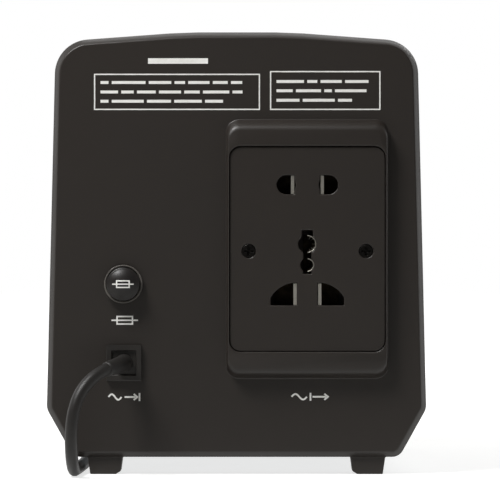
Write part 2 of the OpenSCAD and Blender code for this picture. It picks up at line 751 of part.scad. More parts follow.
// Insulator tray behind the plate, with slots for the contacts' terminal tabs
tab_x = upper_in_x + 2 * outer_leaf_t;
tab_z = upper_rise / 2;
earth_tab_z = earth_rise - earth_step / 2;
module tab_slots(grow) {
    two_sides() translate([tab_x, tab_z]) plain_rect(tab_t + 2 * grow, tab_w + 2 * grow);
    translate([0, earth_tab_z]) plain_rect(tab_t + 2 * grow, tab_w + 2 * grow);
}
module socket_tray() color("#d9d6cc") at_rear() socket_area() difference() {
    along_y(plate_back, tray_back) plain_rect(tray_w, tray_h);
    along_y(plate_back - over, tray_back - tray_t)
        plain_rect(tray_w - 2 * tray_t, tray_h - 2 * tray_t);
    along_y(tray_back - tray_t - over, tray_back + over) tab_slots(slim_fit);
}
module pole_contact() {
    spine_top = upper_rise + upper_h / 2 - slim_fit;
    spine_low = -lower_drop + slim_fit;
    floor_y = tray_back - tray_t;
    upper_x = upper_in_x + slim_fit;
    lower_x = lower_in_x + slim_fit;
    span([lower_x, floor_y - spine_t, spine_low],
        [outer_leaf_x + outer_leaf_t, floor_y, spine_top]);
    span([upper_x, leaf_front, upper_rise - upper_h / 2 + slim_fit],
        [upper_x + leaf_t, floor_y, spine_top]);
    span([lower_x, leaf_front, spine_low],
        [lower_x + leaf_t, floor_y, -lower_drop + lower_h - 3 * slim_fit]);
    span([outer_leaf_x, plate_back + over, upper_rise - upper_h / 2],
        [outer_leaf_x + outer_leaf_t, floor_y, spine_top]);
    span([tab_x - tab_t / 2, floor_y - spine_t, tab_z - tab_w / 2],
        [tab_x + tab_t / 2, floor_y + tab_l, tab_z + tab_w / 2]);
}
module contact_line() color("#c9a34e") at_rear() socket_area() mirror([1, 0, 0]) pole_contact();
module contact_neutral() color("#c9a34e") at_rear() socket_area() pole_contact();
module y_cone(y0, y1, r0, r1) translate([0, y0, 0]) rotate([-90, 0, 0])
    cylinder(h = y1 - y0, r1 = r0, r2 = r1);
module flared_leaf(r) {
    throat = r * earth_throat_share;
    flare_end = leaf_front + earth_flare;
    difference() {
        union() {
            y_cone(leaf_front, flare_end, r, throat + earth_leaf_t);
            y_rod(0, 0, flare_end - skin, tray_back - tray_t, throat + earth_leaf_t);
        }
        y_cone(leaf_front - skin, flare_end, r - earth_lip, throat);
        y_rod(0, 0, flare_end - skin, tray_back, throat);
        span([-2 * r, leaf_front - over, -2 * r], [0, tray_back, 2 * r]);
    }
}
module contact_earth() color("#c9a34e") at_rear() socket_area() {
    floor_y = tray_back - tray_t;
    translate([0, 0, earth_rise]) flared_leaf(earth_leaf_r);
    translate([0, 0, earth_rise - earth_step]) flared_leaf(earth_small_leaf_r);
    span([-waist_w / 2, floor_y - spine_t, earth_rise - earth_step - earth_small_r],
        [waist_w / 2, floor_y, earth_rise + earth_r]);
    span([-tab_t / 2, floor_y - spine_t, earth_tab_z - tab_w / 2],
        [tab_t / 2, floor_y + tab_l, earth_tab_z + tab_w / 2]);
}

// Fuse holder, its nut and contacts, and the cap that pulls out with the fuse
module fuse_area() translate([fuse_x, rear_y, fuse_z]) children();
module fuse_holder() color("#26262a") fuse_area() difference() {
    union() {
        y_rod(0, 0, -fuse_flange_t - fuse_rim_h, 0, fuse_flange_r);
        y_rod(0, 0, -fuse_flange_t, fuse_barrel_l, fuse_barrel_r);
    }
    y_rod(0, 0, -fuse_flange_t - fuse_rim_h - over, -fuse_flange_t, fuse_flange_r - fuse_rim_t);
    y_rod(0, 0, -fuse_flange_t - over, fuse_barrel_l - barrel_floor, fuse_bore_r);
    y_rod(0, 0, fuse_bore_r, fuse_barrel_l + over, contact_stem_r + slim_fit);
    translate([0, fuse_side_y, 0])
        span([-fuse_barrel_r - over, -tab_t / 2 - slim_fit, -fuse_tab / 2 - slim_fit],
            [0, tab_t / 2 + slim_fit, fuse_tab / 2 + slim_fit]);
}
module fuse_nut() color("#222226") fuse_area() difference() {
    translate([0, panel_t, 0]) rotate([-90, 0, 0]) cylinder(h = nut_t, r = nut_r, $fn = 6);
    y_rod(0, 0, panel_t - over, panel_t + nut_t + over, fuse_barrel_r + slim_fit);
}
module fuse_contacts() color("#c9a34e") fuse_area() {
    y_rod(0, 0, fuse_y1 + fit, fuse_y1 + fit + contact_disc_t, contact_disc_r);
    y_rod(0, 0, fuse_y1 + fit, fuse_barrel_l + slim_fit, contact_stem_r);
    span([-fuse_tab / 2, fuse_barrel_l, -tab_t / 2],
        [fuse_tab / 2, fuse_barrel_l + tab_l, tab_t / 2]);
    difference() {
        union() {
            y_rod(0, 0, fuse_ring_y, fuse_ring_y + fuse_ring_l, fuse_bore_r);
            span([-fuse_barrel_r - fuse_side_reach, fuse_side_y - tab_t / 2, -fuse_tab / 2],
                [0, fuse_side_y + tab_t / 2, fuse_tab / 2]);
        }
        y_rod(0, 0, fuse_ring_y - over, fuse_ring_y + fuse_ring_l + over, fuse_cup_r + slim_fit);
    }
}
module fuse_cap() color("#2a2a2e") fuse_area() {
    dome_r = (fuse_cap_r * fuse_cap_r + fuse_dome * fuse_dome) / (2 * fuse_dome);
    intersection() {
        y_rod(0, 0, -fuse_cap_out, fuse_seat, fuse_cap_r);
        translate([0, dome_r - fuse_cap_out, 0]) sphere(dome_r);
    }
    difference() {
        y_rod(0, 0, fuse_seat - slim_fit, fuse_stem_l, fuse_stem_r);
        y_rod(0, 0, 0, fuse_stem_l + over, fuse_stem_bore_r);
    }
}
module fuse_cup() color("#c8c8c8") fuse_area() difference() {
    y_rod(0, 0, fit, fit + fuse_cup_l, fuse_cup_r);
    y_rod(0, 0, fuse_y0, fit + fuse_cup_l + over, fuse_r + slim_fit);
}
module fuse_ends() color("#c8c8c8") fuse_area() {
    y_rod(0, 0, fuse_y0, fuse_y0 + fuse_end_l, fuse_r);
    y_rod(0, 0, fuse_y1 - fuse_end_l, fuse_y1, fuse_r);
}
module fuse_glass() color("#cfe0e6") fuse_area() difference() {
    y_rod(0, 0, fuse_y0 + fuse_end_l, fuse_y1 - fuse_end_l, fuse_glass_r);
    y_rod(0, 0, fuse_y0, fuse_y1, fuse_glass_bore_r);
}
module fuse_wire() color("#b0b0b0") fuse_area()
    y_rod(0, 0, fuse_y0 + fuse_end_l, fuse_y1 - fuse_end_l, fuse_wire_r);

// Cord bushing, strain relief, the free cord, its coil and the plug
module cord_bushing() color("#2c2a29") translate([bushing_x, rear_y, bushing_z]) difference() {
    union() {
        along_y(-bushing_out, 0) plain_rect(bushing_w, bushing_h);
        along_y(-slim_fit, bushing_body_l) plain_rect(bushing_body_w, bushing_body_w);
        along_y(panel_t + slim_fit, panel_t + slim_fit + barb_l)
            plain_rect(bushing_body_w, bushing_body_w + 2 * barb_out);
    }
    along_y(-bushing_out - over, bushing_recess_d - bushing_out)
        plain_rect(bushing_recess_w, bushing_recess_w + slim_fit);
    y_rod(0, 0, -bushing_out, bushing_body_l + over, cord_r + slim_fit);
}
module inner_cord() color("#242322") translate([bushing_x, rear_y, bushing_z])
    y_rod(0, 0, bushing_recess_d - bushing_out, inner_cord_l, cord_r);
module strain_relief() color("#2c2a29")
    tube(cord_route, 0, relief_last, relief_r, relief_tip_r, relief_sides, [1, 0, 0]);
module supply_cord() color("#2a2827")
    tube(cord_route, relief_last, len(cord_route) - 1, cord_r, cord_r, cord_sides, [1, 0, 0]);
module cord_coil() color("#2a2827")
    tube(coil_points, 0, len(coil_points) - 1, cord_r, cord_r, coil_sides, [0, 0, 1]);
module plug_body() color("#2a2827") translate(plug_at) {
    hull() {
        along_x(plug_sleeve_l, plug_sleeve_l + skin)
            soft_rect(plug_w - 2 * plug_taper, plug_h - 2 * plug_taper, plug_edge_r, $fn = hull_fn);
        along_x(plug_sleeve_l + plug_l - plug_face_t, plug_sleeve_l + plug_l)
            soft_rect(plug_w, plug_h, plug_edge_r, $fn = hull_fn);
    }
    rotate([0, 90, 0])
        cylinder(h = plug_sleeve_l + over, r1 = plug_sleeve_tip_r, r2 = plug_sleeve_r, $fn = hull_fn);
}
module flat_pin(a, r) rotate([a, 0, 0])
    span([plug_sleeve_l + plug_l, -pin_t / 2, r - pin_w / 2],
        [plug_sleeve_l + plug_l + pin_l, pin_t / 2, r + pin_w / 2]);
module plug_pins() color("#c9b37a") translate(plug_at) {
    for (s = [-1, 1]) translate([0, s * pin_reach_r, pin_root]) flat_pin(s * pin_slant, 0);
    translate([0, 0, pin_root - earth_pin_r]) flat_pin(0, 0);
}

// Sleeve: the cover slides over the chassis flanges and both end inside the panels' skirts
module cover() color("#3b3a3a") difference() {
    along_y(sleeve_y0, sleeve_y1) difference() {
        polygon(outline(sleeve_in));
        polygon(outline(sleeve_in + sheet_t));
        translate([-body_w / 2, 0]) square([body_w, seam_z]);
    }
    for (i = [0:vent_count - 1]) translate([0, (i - (vent_count - 1) / 2) * vent_pitch, vent_z]) {
        along_x(-body_w / 2, body_w / 2) plain_rect(vent_w, vent_h - vent_w);
        for (s = [-1, 1]) x_rod(0, s * (vent_h - vent_w) / 2, -body_w / 2, body_w / 2, vent_w / 2);
    }
    cover_screw_places() translate([0, 0, -cover_screw_l])
        cylinder(h = 2 * cover_screw_l, r = screw_r + slim_fit);
}
module cover_screw_places() two_sides() for (i = [-1:1])
    translate([side_x(cover_screw_z, sleeve_in), i * cover_screw_span / 2, cover_screw_z])
        rotate([0, 90 - lean, 0]) children();
module cover_screws() color("#8d8f92") cover_screw_places()
    translate([0, 0, screw_head_h]) small_screw(cover_screw_l);
module chassis() color("#b9bbbd") difference() {
    union() {
        along_y(sleeve_y0, sleeve_y1) difference() {
            polygon(outline(sleeve_in));
            polygon(outline(sleeve_in + sheet_t));
            translate([-body_w / 2, seam_z]) square([body_w, body_h]);
        }
        along_y(sleeve_y0, sleeve_y1) difference() {
            polygon(outline(sleeve_in + slim_fit / 2));
            polygon(outline(sleeve_in + lap));
            translate([-body_w / 2, seam_z]) square([body_w, body_h]);
            translate([-body_w / 2, 0]) square([body_w, seam_z - joggle_h]);
        }
        along_y(sleeve_y0, sleeve_y1) difference() {
            polygon(outline(sleeve_in + sheet_t + slim_fit));
            polygon(outline(sleeve_in + lap));
            translate([-body_w / 2, seam_z + flange_h]) square([body_w, body_h]);
            translate([-body_w / 2, 0]) square([body_w, seam_z - joggle_h]);
        }
        two_sides() for (y = [rear_y + end_tab_y0, front_y - end_tab_y0 - sheet_t])
            span([end_boss_x - end_tab_w / 2, y, deck_z - sheet_t / 2],
                [end_boss_x + end_tab_w / 2, y + sheet_t, deck_z + end_tab_h]);
    }
    cover_screw_places() translate([0, 0, -cover_screw_l - over])
        cylinder(h = 2 * cover_screw_l, r = screw_r + slim_fit);
    two_sides() for (y = [rear_y + end_tab_y0, front_y - end_tab_y0 - sheet_t])
        y_rod(end_boss_x, end_boss_z, y - over, y + sheet_t + over, screw_r + slim_fit);
    bracket_screw_places() z_rod(0, 0, -deck_screw_l, over, screw_r + slim_fit);
    block_screw_places() z_rod(0, 0, -deck_screw_l, over, screw_r + slim_fit);
    board_corners() z_rod(0, 0, deck_z - sheet_t - over, deck_z + over, screw_r + slim_fit);
    z_rod(stud_x, rear_y + stud_y, deck_z - sheet_t - over, deck_z + over, stud_r + slim_fit);
}
module panel_screw() translate([end_boss_x, end_tab_y0 + sheet_t + screw_head_h, end_boss_z])
    rotate([-90, 0, 0]) small_screw(panel_screw_l);
module panel_screws() color("#8d8f92") two_sides() {
    at_rear() panel_screw();
    at_front() panel_screw();
}

// Transformer
module core() color("#6f7276") difference() {
    span([-core_w / 2, core_y - stack_t / 2, deck_z], [core_w / 2, core_y + stack_t / 2, deck_z + core_h]);
    two_sides() span([leg_w / 2, core_y - stack_t / 2 - over, deck_z + side_w],
        [leg_w / 2 + side_w, core_y + stack_t / 2 + over, deck_z + side_w + core_window_h]);
    two_sides() for (z = [core_bolt_low, core_bolt_high])
        y_rod(core_bolt_x, z, core_y - stack_t / 2 - over, core_y + stack_t / 2 + over,
            core_bolt_r + slim_fit);
}
module about_leg(z0, z1) translate([0, core_y, z0]) linear_extrude(z1 - z0) children();
bobbin_low = deck_z + side_w + slim_fit;
bobbin_high = bobbin_low + core_window_h - 2 * slim_fit;
module bobbin() color("#c7b98c") difference() {
    union() {
        about_leg(bobbin_low, bobbin_high) plain_rect(2 * bobbin_x, 2 * bobbin_y);
        for (z = [bobbin_low, bobbin_high - bobbin_t]) about_leg(z, z + bobbin_t)
            plain_rect(2 * (leg_w / 2 + side_w - fit), 2 * (winding_y + winding_in));
    }
    about_leg(bobbin_low - over, bobbin_high + over)
        plain_rect(leg_w + 2 * fit, stack_t + 2 * fit);
}
module winding() color("#b8862f") about_leg(bobbin_low + bobbin_t, bobbin_high - bobbin_t)
    difference() {
        soft_rect(2 * (leg_w / 2 + side_w - fit - winding_in), 2 * winding_y, winding_r);
        plain_rect(2 * bobbin_x, 2 * bobbin_y);
    }
module bracket_screw_places() two_sides() for (s = [-1, 1])
    translate([bracket_screw_x, core_y + s * (stack_t / 2 + bracket_t + bracket_foot / 2), deck_z])
        children();
module block_screw_places() for (s = [-1, 1])
    translate([block_x + s * block_screw_x, rear_y + block_y, deck_z]) children();
module core_brackets() color("#a5a8ab") difference() {
    for (s = [-1, 1]) translate([0, core_y, 0]) scale([1, s, 1]) {
        span([-core_w / 2, stack_t / 2, deck_z], [core_w / 2, stack_t / 2 + bracket_t, deck_z + bracket_h]);
        span([-core_w / 2, stack_t / 2, deck_z],
            [core_w / 2, stack_t / 2 + bracket_t + bracket_foot, deck_z + bracket_t]);
    }
    bracket_screw_places() z_rod(0, 0, -over, bracket_t + over, screw_r + slim_fit);
    two_sides() y_rod(core_bolt_x, core_bolt_low, core_y - stack_t, core_y + stack_t,
        core_bolt_r + slim_fit);
}
module core_bolt(z, grip) {
    half = grip / 2;
    y_rod(core_bolt_x, z, core_y - half - core_bolt_head_h - thread_out, core_y + half + skin,
        core_bolt_r);
    translate([core_bolt_x, core_y + half, z]) rotate([-90, 0, 0])
        cylinder(h = core_bolt_head_h, r = core_bolt_head_r, $fn = 6);
    translate([core_bolt_x, core_y - half - core_bolt_head_h, z]) rotate([-90, 0, 0])
        cylinder(h = core_bolt_head_h, r = core_bolt_head_r, $fn = 6);
}
module core_bolts() color("#8d8f92") two_sides() {
    core_bolt(core_bolt_low, stack_t + 2 * bracket_t);
    core_bolt(core_bolt_high, stack_t);
}
module deck_screw(seat) translate([0, 0, seat + screw_head_h]) small_screw(deck_screw_l);
module deck_screws() color("#8d8f92") {
    bracket_screw_places() deck_screw(bracket_t);
    block_screw_places() deck_screw(block_ear_t);
}

// Control board
module board_corners() for (x = [-1, 1], y = [-1, 1])
    translate([x * (board_w / 2 - hole_inset), board_y + y * (board_l / 2 - hole_inset), 0]) children();
module control_board() color("#2f6b3a") difference() {
    span([-board_w / 2, board_y - board_l / 2, board_z], [board_w / 2, board_y + board_l / 2, board_top]);
    board_corners() z_rod(0, 0, board_z - over, board_top + over, screw_r + slim_fit);
}
module board_standoffs() color("#c9ccd0") board_corners() difference() {
    z_rod(0, 0, deck_z, board_z, standoff_r);
    z_rod(0, 0, deck_z - over, board_z + over, screw_r + slim_fit);
}
module board_screws() color("#8d8f92") board_corners()
    translate([0, 0, board_top + screw_head_h]) small_screw(board_t + board_screw_l);
module relays() color("#2f57a8") for (i = [0:relay_count - 1])
    translate([(i - (relay_count - 1) / 2) * relay_pitch, relay_y, board_top])
        linear_extrude(relay_h) plain_rect(relay_w, relay_l);
module capacitors() color("#2b2f45") for (i = [0:len(cap_radii) - 1])
    z_rod(cap_places_shares[i][0] * board_w, board_y + cap_places_shares[i][1] * board_l, board_top,
        board_top + cap_heights[i], cap_radii[i]);
module control_chip() color("#1d1d1f")
    translate([chip_x_share * board_w, board_y + chip_y_share * board_l, board_top])
        linear_extrude(chip_h) plain_rect(chip_w, chip_l);

// Terminal block and earth stud on the chassis
module terminal_block() color("#e4e1d6") translate([block_x, rear_y + block_y, deck_z]) difference() {
    union() {
        linear_extrude(block_h) plain_rect(block_w, block_l);
        linear_extrude(block_ear_t) plain_rect(block_w + 2 * block_ear_w, block_l);
    }
    for (s = [-1, 1]) z_rod(s * block_screw_x, 0, -over, block_ear_t + over, screw_r + slim_fit);
    for (i = [-1:1], y = [-block_row, block_row])
        z_rod(i * block_way, y, block_h - block_well_d, block_h + over, block_well_r);
}
module earth_stud() color("#a5a8ab") translate([stud_x, rear_y + stud_y, deck_z]) {
    z_rod(0, 0, -sheet_t - skin, stud_l, stud_r);
    for (z = [0, -sheet_t - stud_nut_t / 2]) translate([0, 0, z])
        cylinder(h = z < 0 ? stud_nut_t / 2 : stud_nut_t, r = stud_nut_r, $fn = 6);
}

// Front fascia
module at_window() translate([0, 0, window_z]) children();
module switch_area() translate([switch_x, 0, switch_z]) children();
module delay_area() translate([delay_x, 0, switch_z]) children();
module display_corners() for (x = [-1, 1], z = [display_boss_low, display_boss_high])
    translate([x * display_boss_x, 0, z]) children();
module lamp_places() for (i = [-1:1]) translate([i * lamp_pitch, 0, lamp_z]) children();
module front_fascia() color("#33302d") at_front() difference() {
    union() {
        panel_blank();
        display_corners() y_rod(0, 0, panel_t - slim_fit, display_y, boss_r);
    }
    display_corners() y_rod(0, 0, panel_t, display_y + over, screw_r + slim_fit);
    at_window() {
        along_y(-over, lens_t) plain_rect(window_w, window_h);
        along_y(0, panel_t + over) plain_rect(window_w - 2 * lens_ledge, window_h - 2 * lens_ledge);
    }
    switch_area() along_y(-over, panel_t + over)
        plain_rect(switch_body_w + 2 * slim_fit, switch_body_h + 2 * slim_fit);
    delay_area() y_rod(0, 0, -over, panel_t + over, delay_barrel_r + slim_fit);
    lamp_places() y_rod(0, 0, -over, panel_t + over, lamp_r + slim_fit);
}
module display_window() color("#1a1112") at_front() at_window()
    along_y(0, lens_t) plain_rect(window_w - 2 * lens_fit, window_h - 2 * lens_fit);
module display_board() color("#2f6b3a") at_front() difference() {
    span([-display_w / 2, display_y, display_low], [display_w / 2, display_y + board_t, display_high]);
    display_corners() y_rod(0, 0, display_y - over, display_y + board_t + over, screw_r + slim_fit);
}
module display_screws() color("#8d8f92") at_front() display_corners()
    translate([0, display_y + board_t + screw_head_h, 0]) rotate([-90, 0, 0]) small_screw(display_screw_l);
module digit_modules() color("#e8e6e0") at_front() at_window() two_sides()
    translate([digit_x, 0, 0]) along_y(display_y - digit_d, display_y) plain_rect(digit_w, digit_h);
module indicator_lamps() color("#7fd07a") at_front() lamp_places() {
    y_rod(0, 0, -lamp_out, display_y, lamp_r);
    y_rod(0, 0, display_y - lamp_base_t, display_y, lamp_base_r);
}

// Power switch. The rocker is shown tilted to its off side and turns about a pin along X.
module switch_housing() color("#1c1c1e") at_front() switch_area() difference() {
    union() {
        along_y(-switch_bezel_t, 0) plain_rect(switch_bezel_w, switch_bezel_h);
        along_y(-slim_fit, switch_d) plain_rect(switch_body_w, switch_body_h);
        along_y(panel_t + slim_fit, panel_t + slim_fit + barb_l)
            plain_rect(switch_body_w - 2 * barb_in, switch_body_h + 2 * barb_out);
    }
    along_y(-switch_bezel_t - over, rocker_deep)
        plain_rect(rocker_w + 2 * fit, 2 * (rocker_r + fit));
    x_rod(rocker_pivot, 0, -rocker_w / 2 - fit - pivot_l, rocker_w / 2 + fit + pivot_l,
        pivot_r + pivot_gap);
}
module rocker_profile() intersection() {
    circle(rocker_r);
    polygon([[-rocker_crown, 0], [-rocker_crown - rocker_r * tan(rocker_tilt), rocker_r],
        [rocker_back, rocker_r], [rocker_back, -rocker_r],
        [-rocker_crown - rocker_r * tan(rocker_tilt), -rocker_r]]);
}
module switch_rocker() color("#b3202a") at_front() switch_area()
    translate([0, rocker_pivot, 0]) rotate([rocker_tilt, 0, 0]) {
        along_x(-rocker_w / 2, rocker_w / 2) rocker_profile();
        x_rod(0, 0, -rocker_w / 2 - fit - pivot_l + slim_fit, rocker_w / 2 + fit + pivot_l - slim_fit,
            pivot_r);
    }
module switch_tabs() color("#c9a34e") at_front() switch_area()
    for (x = [-1, 1], z = [-1, 1]) translate([x * switch_tab_x, 0, z * switch_tab_z])
        along_y(switch_d, switch_d + tab_l) plain_rect(tab_t, tab_w);

// Delay button in its own panel-mounted switch
module delay_switch() color("#1c1c1e") at_front() delay_area() difference() {
    union() {
        y_rod(0, 0, -delay_bezel_t, 0, delay_bezel_r);
        y_rod(0, 0, -slim_fit, delay_barrel_l, delay_barrel_r);
    }
    y_rod(0, 0, -delay_bezel_t - over, delay_stem_l + delay_travel + fit, delay_r + slim_fit);
}
module delay_nut() color("#222226") at_front() delay_area() difference() {
    translate([0, panel_t, 0]) rotate([-90, 0, 0]) cylinder(h = nut_t, r = nut_r, $fn = 6);
    y_rod(0, 0, panel_t - over, panel_t + nut_t + over, delay_barrel_r + slim_fit);
}
module delay_button() color("#8f1d22") at_front() delay_area()
    y_rod(0, 0, -delay_bezel_t - delay_out, delay_stem_l, delay_r);

// Internal wiring. Every wire is a tube through rounded corners, ending square on what it joins.
wire_r = 0.75;
wire_sides = 6;
ribbon_w = 20;
ribbon_t = 0.8;
ribbon_x = 2;
wire_out = 6;
wire_bend = 9;
core_spread = 1.65;
lead_pitch = 11;
lead_count = 5;
lead_z = 58;
way_xs = [for (i = [-1:1]) block_x + i * block_way];
block_top = deck_z + block_h;
well_z = block_top - block_well_d;
block_mid_y = rear_y + block_y;
inner_end = [bushing_x, rear_y + inner_cord_l, bushing_z];
header_top = board_top + header_h;
function cut_corners(p) = concat([p[0]], [for (i = [0:len(p) - 2])
    each [p[i] * 3 / 4 + p[i + 1] / 4, p[i] / 4 + p[i + 1] * 3 / 4]], [p[len(p) - 1]]);
module wire(p) {
    soft = cut_corners(cut_corners(p));
    tube(soft, 0, len(soft) - 1, wire_r, wire_r, wire_sides, [1, 0, 0.1]);
}
module lead_header() color("#e9e6dc")
    translate([0, header_y, board_top]) linear_extrude(header_h) plain_rect(header_w, header_l);
module input_wires() color("#7a3a2a") for (i = [-1:1]) {
    from = inner_end + [i * core_spread, 0, 0];
    wire([from, from + [0, wire_out, 0], [way_xs[i + 1], from[1] + wire_out, from[2] - wire_bend],
        [way_xs[i + 1], block_mid_y - block_row, block_top + wire_bend],
        [way_xs[i + 1], block_mid_y - block_row, well_z]]);
}
module power_wires() color("#3a3f7a") {
    side_end = [fuse_x - fuse_barrel_r - fuse_side_reach, rear_y + fuse_side_y, fuse_z];
    rear_end = [fuse_x, rear_y + fuse_barrel_l + tab_l, fuse_z];
    switch_y = front_y - switch_d - tab_l;
    tab_side = switch_x - switch_tab_x;
    stud_face = rear_y + stud_y + stud_nut_r * cos(30);
    stud_mid = deck_z + stud_nut_t / 2;
    beside_core = -core_w / 2 - wire_bend;
    last_lead = -header_w / 2 + 3 * wire_r;
    wire([side_end, side_end - [wire_out, 0, 0], side_end + [-wire_out, wire_bend, -2 * wire_bend],
        [way_xs[0], block_mid_y + block_row, block_top + 2 * wire_bend],
        [way_xs[0], block_mid_y + block_row, well_z]]);
    wire([rear_end, rear_end + [0, wire_bend, 0], [beside_core, core_y - stack_t / 2, fuse_z + wire_out],
        [beside_core, core_y + stack_t, fuse_z], [tab_side, switch_y - 2 * wire_bend,
        switch_z + switch_tab_z], [tab_side, switch_y, switch_z + switch_tab_z]]);
    wire([[tab_side, switch_y, switch_z - switch_tab_z],
        [tab_side, header_y - header_l / 2, switch_z - switch_tab_z],
        [tab_side, header_y, header_top + wire_bend], [tab_side, header_y, header_top]]);
    wire([[way_xs[2], block_mid_y + block_row, well_z],
        [way_xs[2], block_mid_y + block_row, block_top + wire_bend],
        [stud_x - 2 * wire_bend, stud_face + wire_bend, block_top],
        [stud_x, stud_face + wire_bend, stud_mid], [stud_x, stud_face, stud_mid]]);
    wire([[way_xs[1], block_mid_y + block_row, well_z],
        [way_xs[1], block_mid_y + block_row, block_top + 2 * wire_bend],
        [beside_core, core_y - stack_t / 2, lead_z], [beside_core, core_y + stack_t, lead_z],
        [last_lead, header_y - header_l, header_top + 3 * wire_bend],
        [last_lead, header_y, header_top + wire_bend], [last_lead, header_y, header_top]]);
}
module socket_wires() color("#6a6f2a") {
    ends_y = rear_y + tray_back - tray_t + tab_l;
    over_core = deck_z + core_h + wire_bend + wire_out;
    for (s = [-1, 1]) {
        x = socket_x + s * tab_x;
        z = socket_z + tab_z;
        goal = header_w / 2 - wire_bend + s * wire_out;
        wire([[x, ends_y, z], [x, ends_y + wire_bend, z], [x, core_y - stack_t / 2, over_core],
            [goal, core_y + stack_t, over_core], [goal, header_y, over_core - 2 * wire_bend],
            [goal, header_y, header_top]]);
    }
    earth_z = socket_z + earth_tab_z;
    wire([[socket_x, ends_y, earth_z], [socket_x, ends_y + wire_bend, earth_z],
        [stud_x, ends_y + wire_bend, earth_z - 2 * wire_bend],
        [stud_x, rear_y + stud_y, deck_z + stud_l + 2 * wire_bend],
        [stud_x, rear_y + stud_y, deck_z + stud_l]]);
}
module winding_leads() color("#a8742a") for (i = [0:lead_count - 1]) {
    x = (i - (lead_count - 1) / 2) * lead_pitch;
    wire([[x, core_y + winding_y, lead_z], [x, core_y + winding_y + wire_bend, lead_z],
        [x, header_y, lead_z - wire_bend], [x, header_y, header_top]]);
}
module display_ribbon() color("#b9bcc2") {
    back = front_y - display_y - board_t;
    land = board_y + board_l / 2 - hole_inset;
    top = display_low + hole_inset;
    along_x(ribbon_x, ribbon_x + ribbon_w) polygon([[back, top], [back, top + ribbon_t],
        [land + ribbon_t, top + ribbon_t], [land, top], [land, board_top],
        [land + ribbon_t, board_top], [land + ribbon_t, top]]);
}

rear_panel();
socket_plate();
socket_tray();
contact_line();
contact_neutral();
contact_earth();
socket_screws();
fuse_holder();
fuse_nut();
fuse_cap();
fuse_cup();
fuse_glass();
fuse_ends();
fuse_wire();
fuse_contacts();
cord_bushing();
strain_relief();
supply_cord();
cord_coil();
plug_body();
plug_pins();
inner_cord();
cover();
chassis();
cover_screws();
panel_screws();
core();
bobbin();
winding();
core_brackets();
core_bolts();
deck_screws();
control_board();
relays();
capacitors();
control_chip();
board_standoffs();
board_screws();
terminal_block();
earth_stud();
front_fascia();
display_window();
display_board();
digit_modules();
indicator_lamps();
display_screws();
switch_housing();
switch_rocker();
switch_tabs();
delay_switch();
delay_nut();
delay_button();
lead_header();
input_wires();
power_wires();
socket_wires();
winding_leads();
display_ribbon();
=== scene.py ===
# Looks of a relay-type desk voltage stabilizer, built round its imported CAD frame.
# Metres. +Z is up, the rear panel faces -Y and the front fascia +Y, and the feet stand on z = 0.
import json
from math import cos, pi, radians, sin, sqrt, tan

import bmesh
import bpy
from mathutils import Matrix, Vector

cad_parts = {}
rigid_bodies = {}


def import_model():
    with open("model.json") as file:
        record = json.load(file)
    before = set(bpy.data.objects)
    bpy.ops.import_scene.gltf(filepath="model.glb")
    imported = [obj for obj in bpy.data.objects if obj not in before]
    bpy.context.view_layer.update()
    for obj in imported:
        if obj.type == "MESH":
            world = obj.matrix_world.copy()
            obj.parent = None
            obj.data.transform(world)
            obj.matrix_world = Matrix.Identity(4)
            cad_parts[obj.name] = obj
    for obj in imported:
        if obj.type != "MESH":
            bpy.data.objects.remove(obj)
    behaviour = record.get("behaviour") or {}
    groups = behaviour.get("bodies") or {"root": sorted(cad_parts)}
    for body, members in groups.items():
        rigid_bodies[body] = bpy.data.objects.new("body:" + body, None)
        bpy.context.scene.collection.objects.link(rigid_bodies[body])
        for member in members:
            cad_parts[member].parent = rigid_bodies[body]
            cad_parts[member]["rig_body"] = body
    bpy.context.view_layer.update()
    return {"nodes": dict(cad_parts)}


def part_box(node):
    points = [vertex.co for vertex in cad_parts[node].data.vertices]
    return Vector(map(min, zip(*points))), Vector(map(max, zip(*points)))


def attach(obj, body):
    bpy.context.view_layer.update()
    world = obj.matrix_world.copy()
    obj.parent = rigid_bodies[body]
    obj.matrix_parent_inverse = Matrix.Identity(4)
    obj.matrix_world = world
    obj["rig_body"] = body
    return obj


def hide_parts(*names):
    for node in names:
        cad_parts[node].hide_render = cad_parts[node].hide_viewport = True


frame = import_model()
scene = bpy.context.scene
scene.view_settings.view_transform = "Standard"
MM = 0.001


# Places taken from the frame

def middle(node):
    low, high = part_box(node)
    return (low + high) / 2


HOUSING_OUT = 6 * MM
rear_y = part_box("rear_panel")[0].y + HOUSING_OUT
front_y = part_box("display_window")[1].y
fuse_at = middle("fuse_cap")
bushing_at = middle("cord_bushing")
plate_at = middle("socket_plate")


# Camera: straight on from the rear and level, as in the photograph

PHOTO_SIDE_PX = 500
PX_PER_MM = 2.5
MIDDLE_LINE_PX = 236.5
FLOOR_LINE_PX = 474.5
CAMERA_AWAY = 1500 * MM
SENSOR_MM = 36
field = PHOTO_SIDE_PX / PX_PER_MM * MM

camera = bpy.data.objects.new("photo_camera", bpy.data.cameras.new("photo_camera"))
camera.data.sensor_width = SENSOR_MM
camera.data.lens = SENSOR_MM * CAMERA_AWAY / field
camera.location = (
    (PHOTO_SIDE_PX / 2 - MIDDLE_LINE_PX) / PX_PER_MM * MM,
    rear_y - CAMERA_AWAY,
    (FLOOR_LINE_PX - PHOTO_SIDE_PX / 2) / PX_PER_MM * MM,
)
camera.rotation_euler = (radians(90), 0, 0)
scene.collection.objects.link(camera)
scene.camera = camera


# Finishes. Every pattern works in millimetres of the object's own frame.

def linear(code):
    """An sRGB hex value as the linear colour that a shader takes."""
    shares = [int(code[i:i + 2], 16) / 255 for i in (0, 2, 4)]
    return [c / 12.92 if c <= 0.04045 else ((c + 0.055) / 1.055) ** 2.4 for c in shares] + [1]


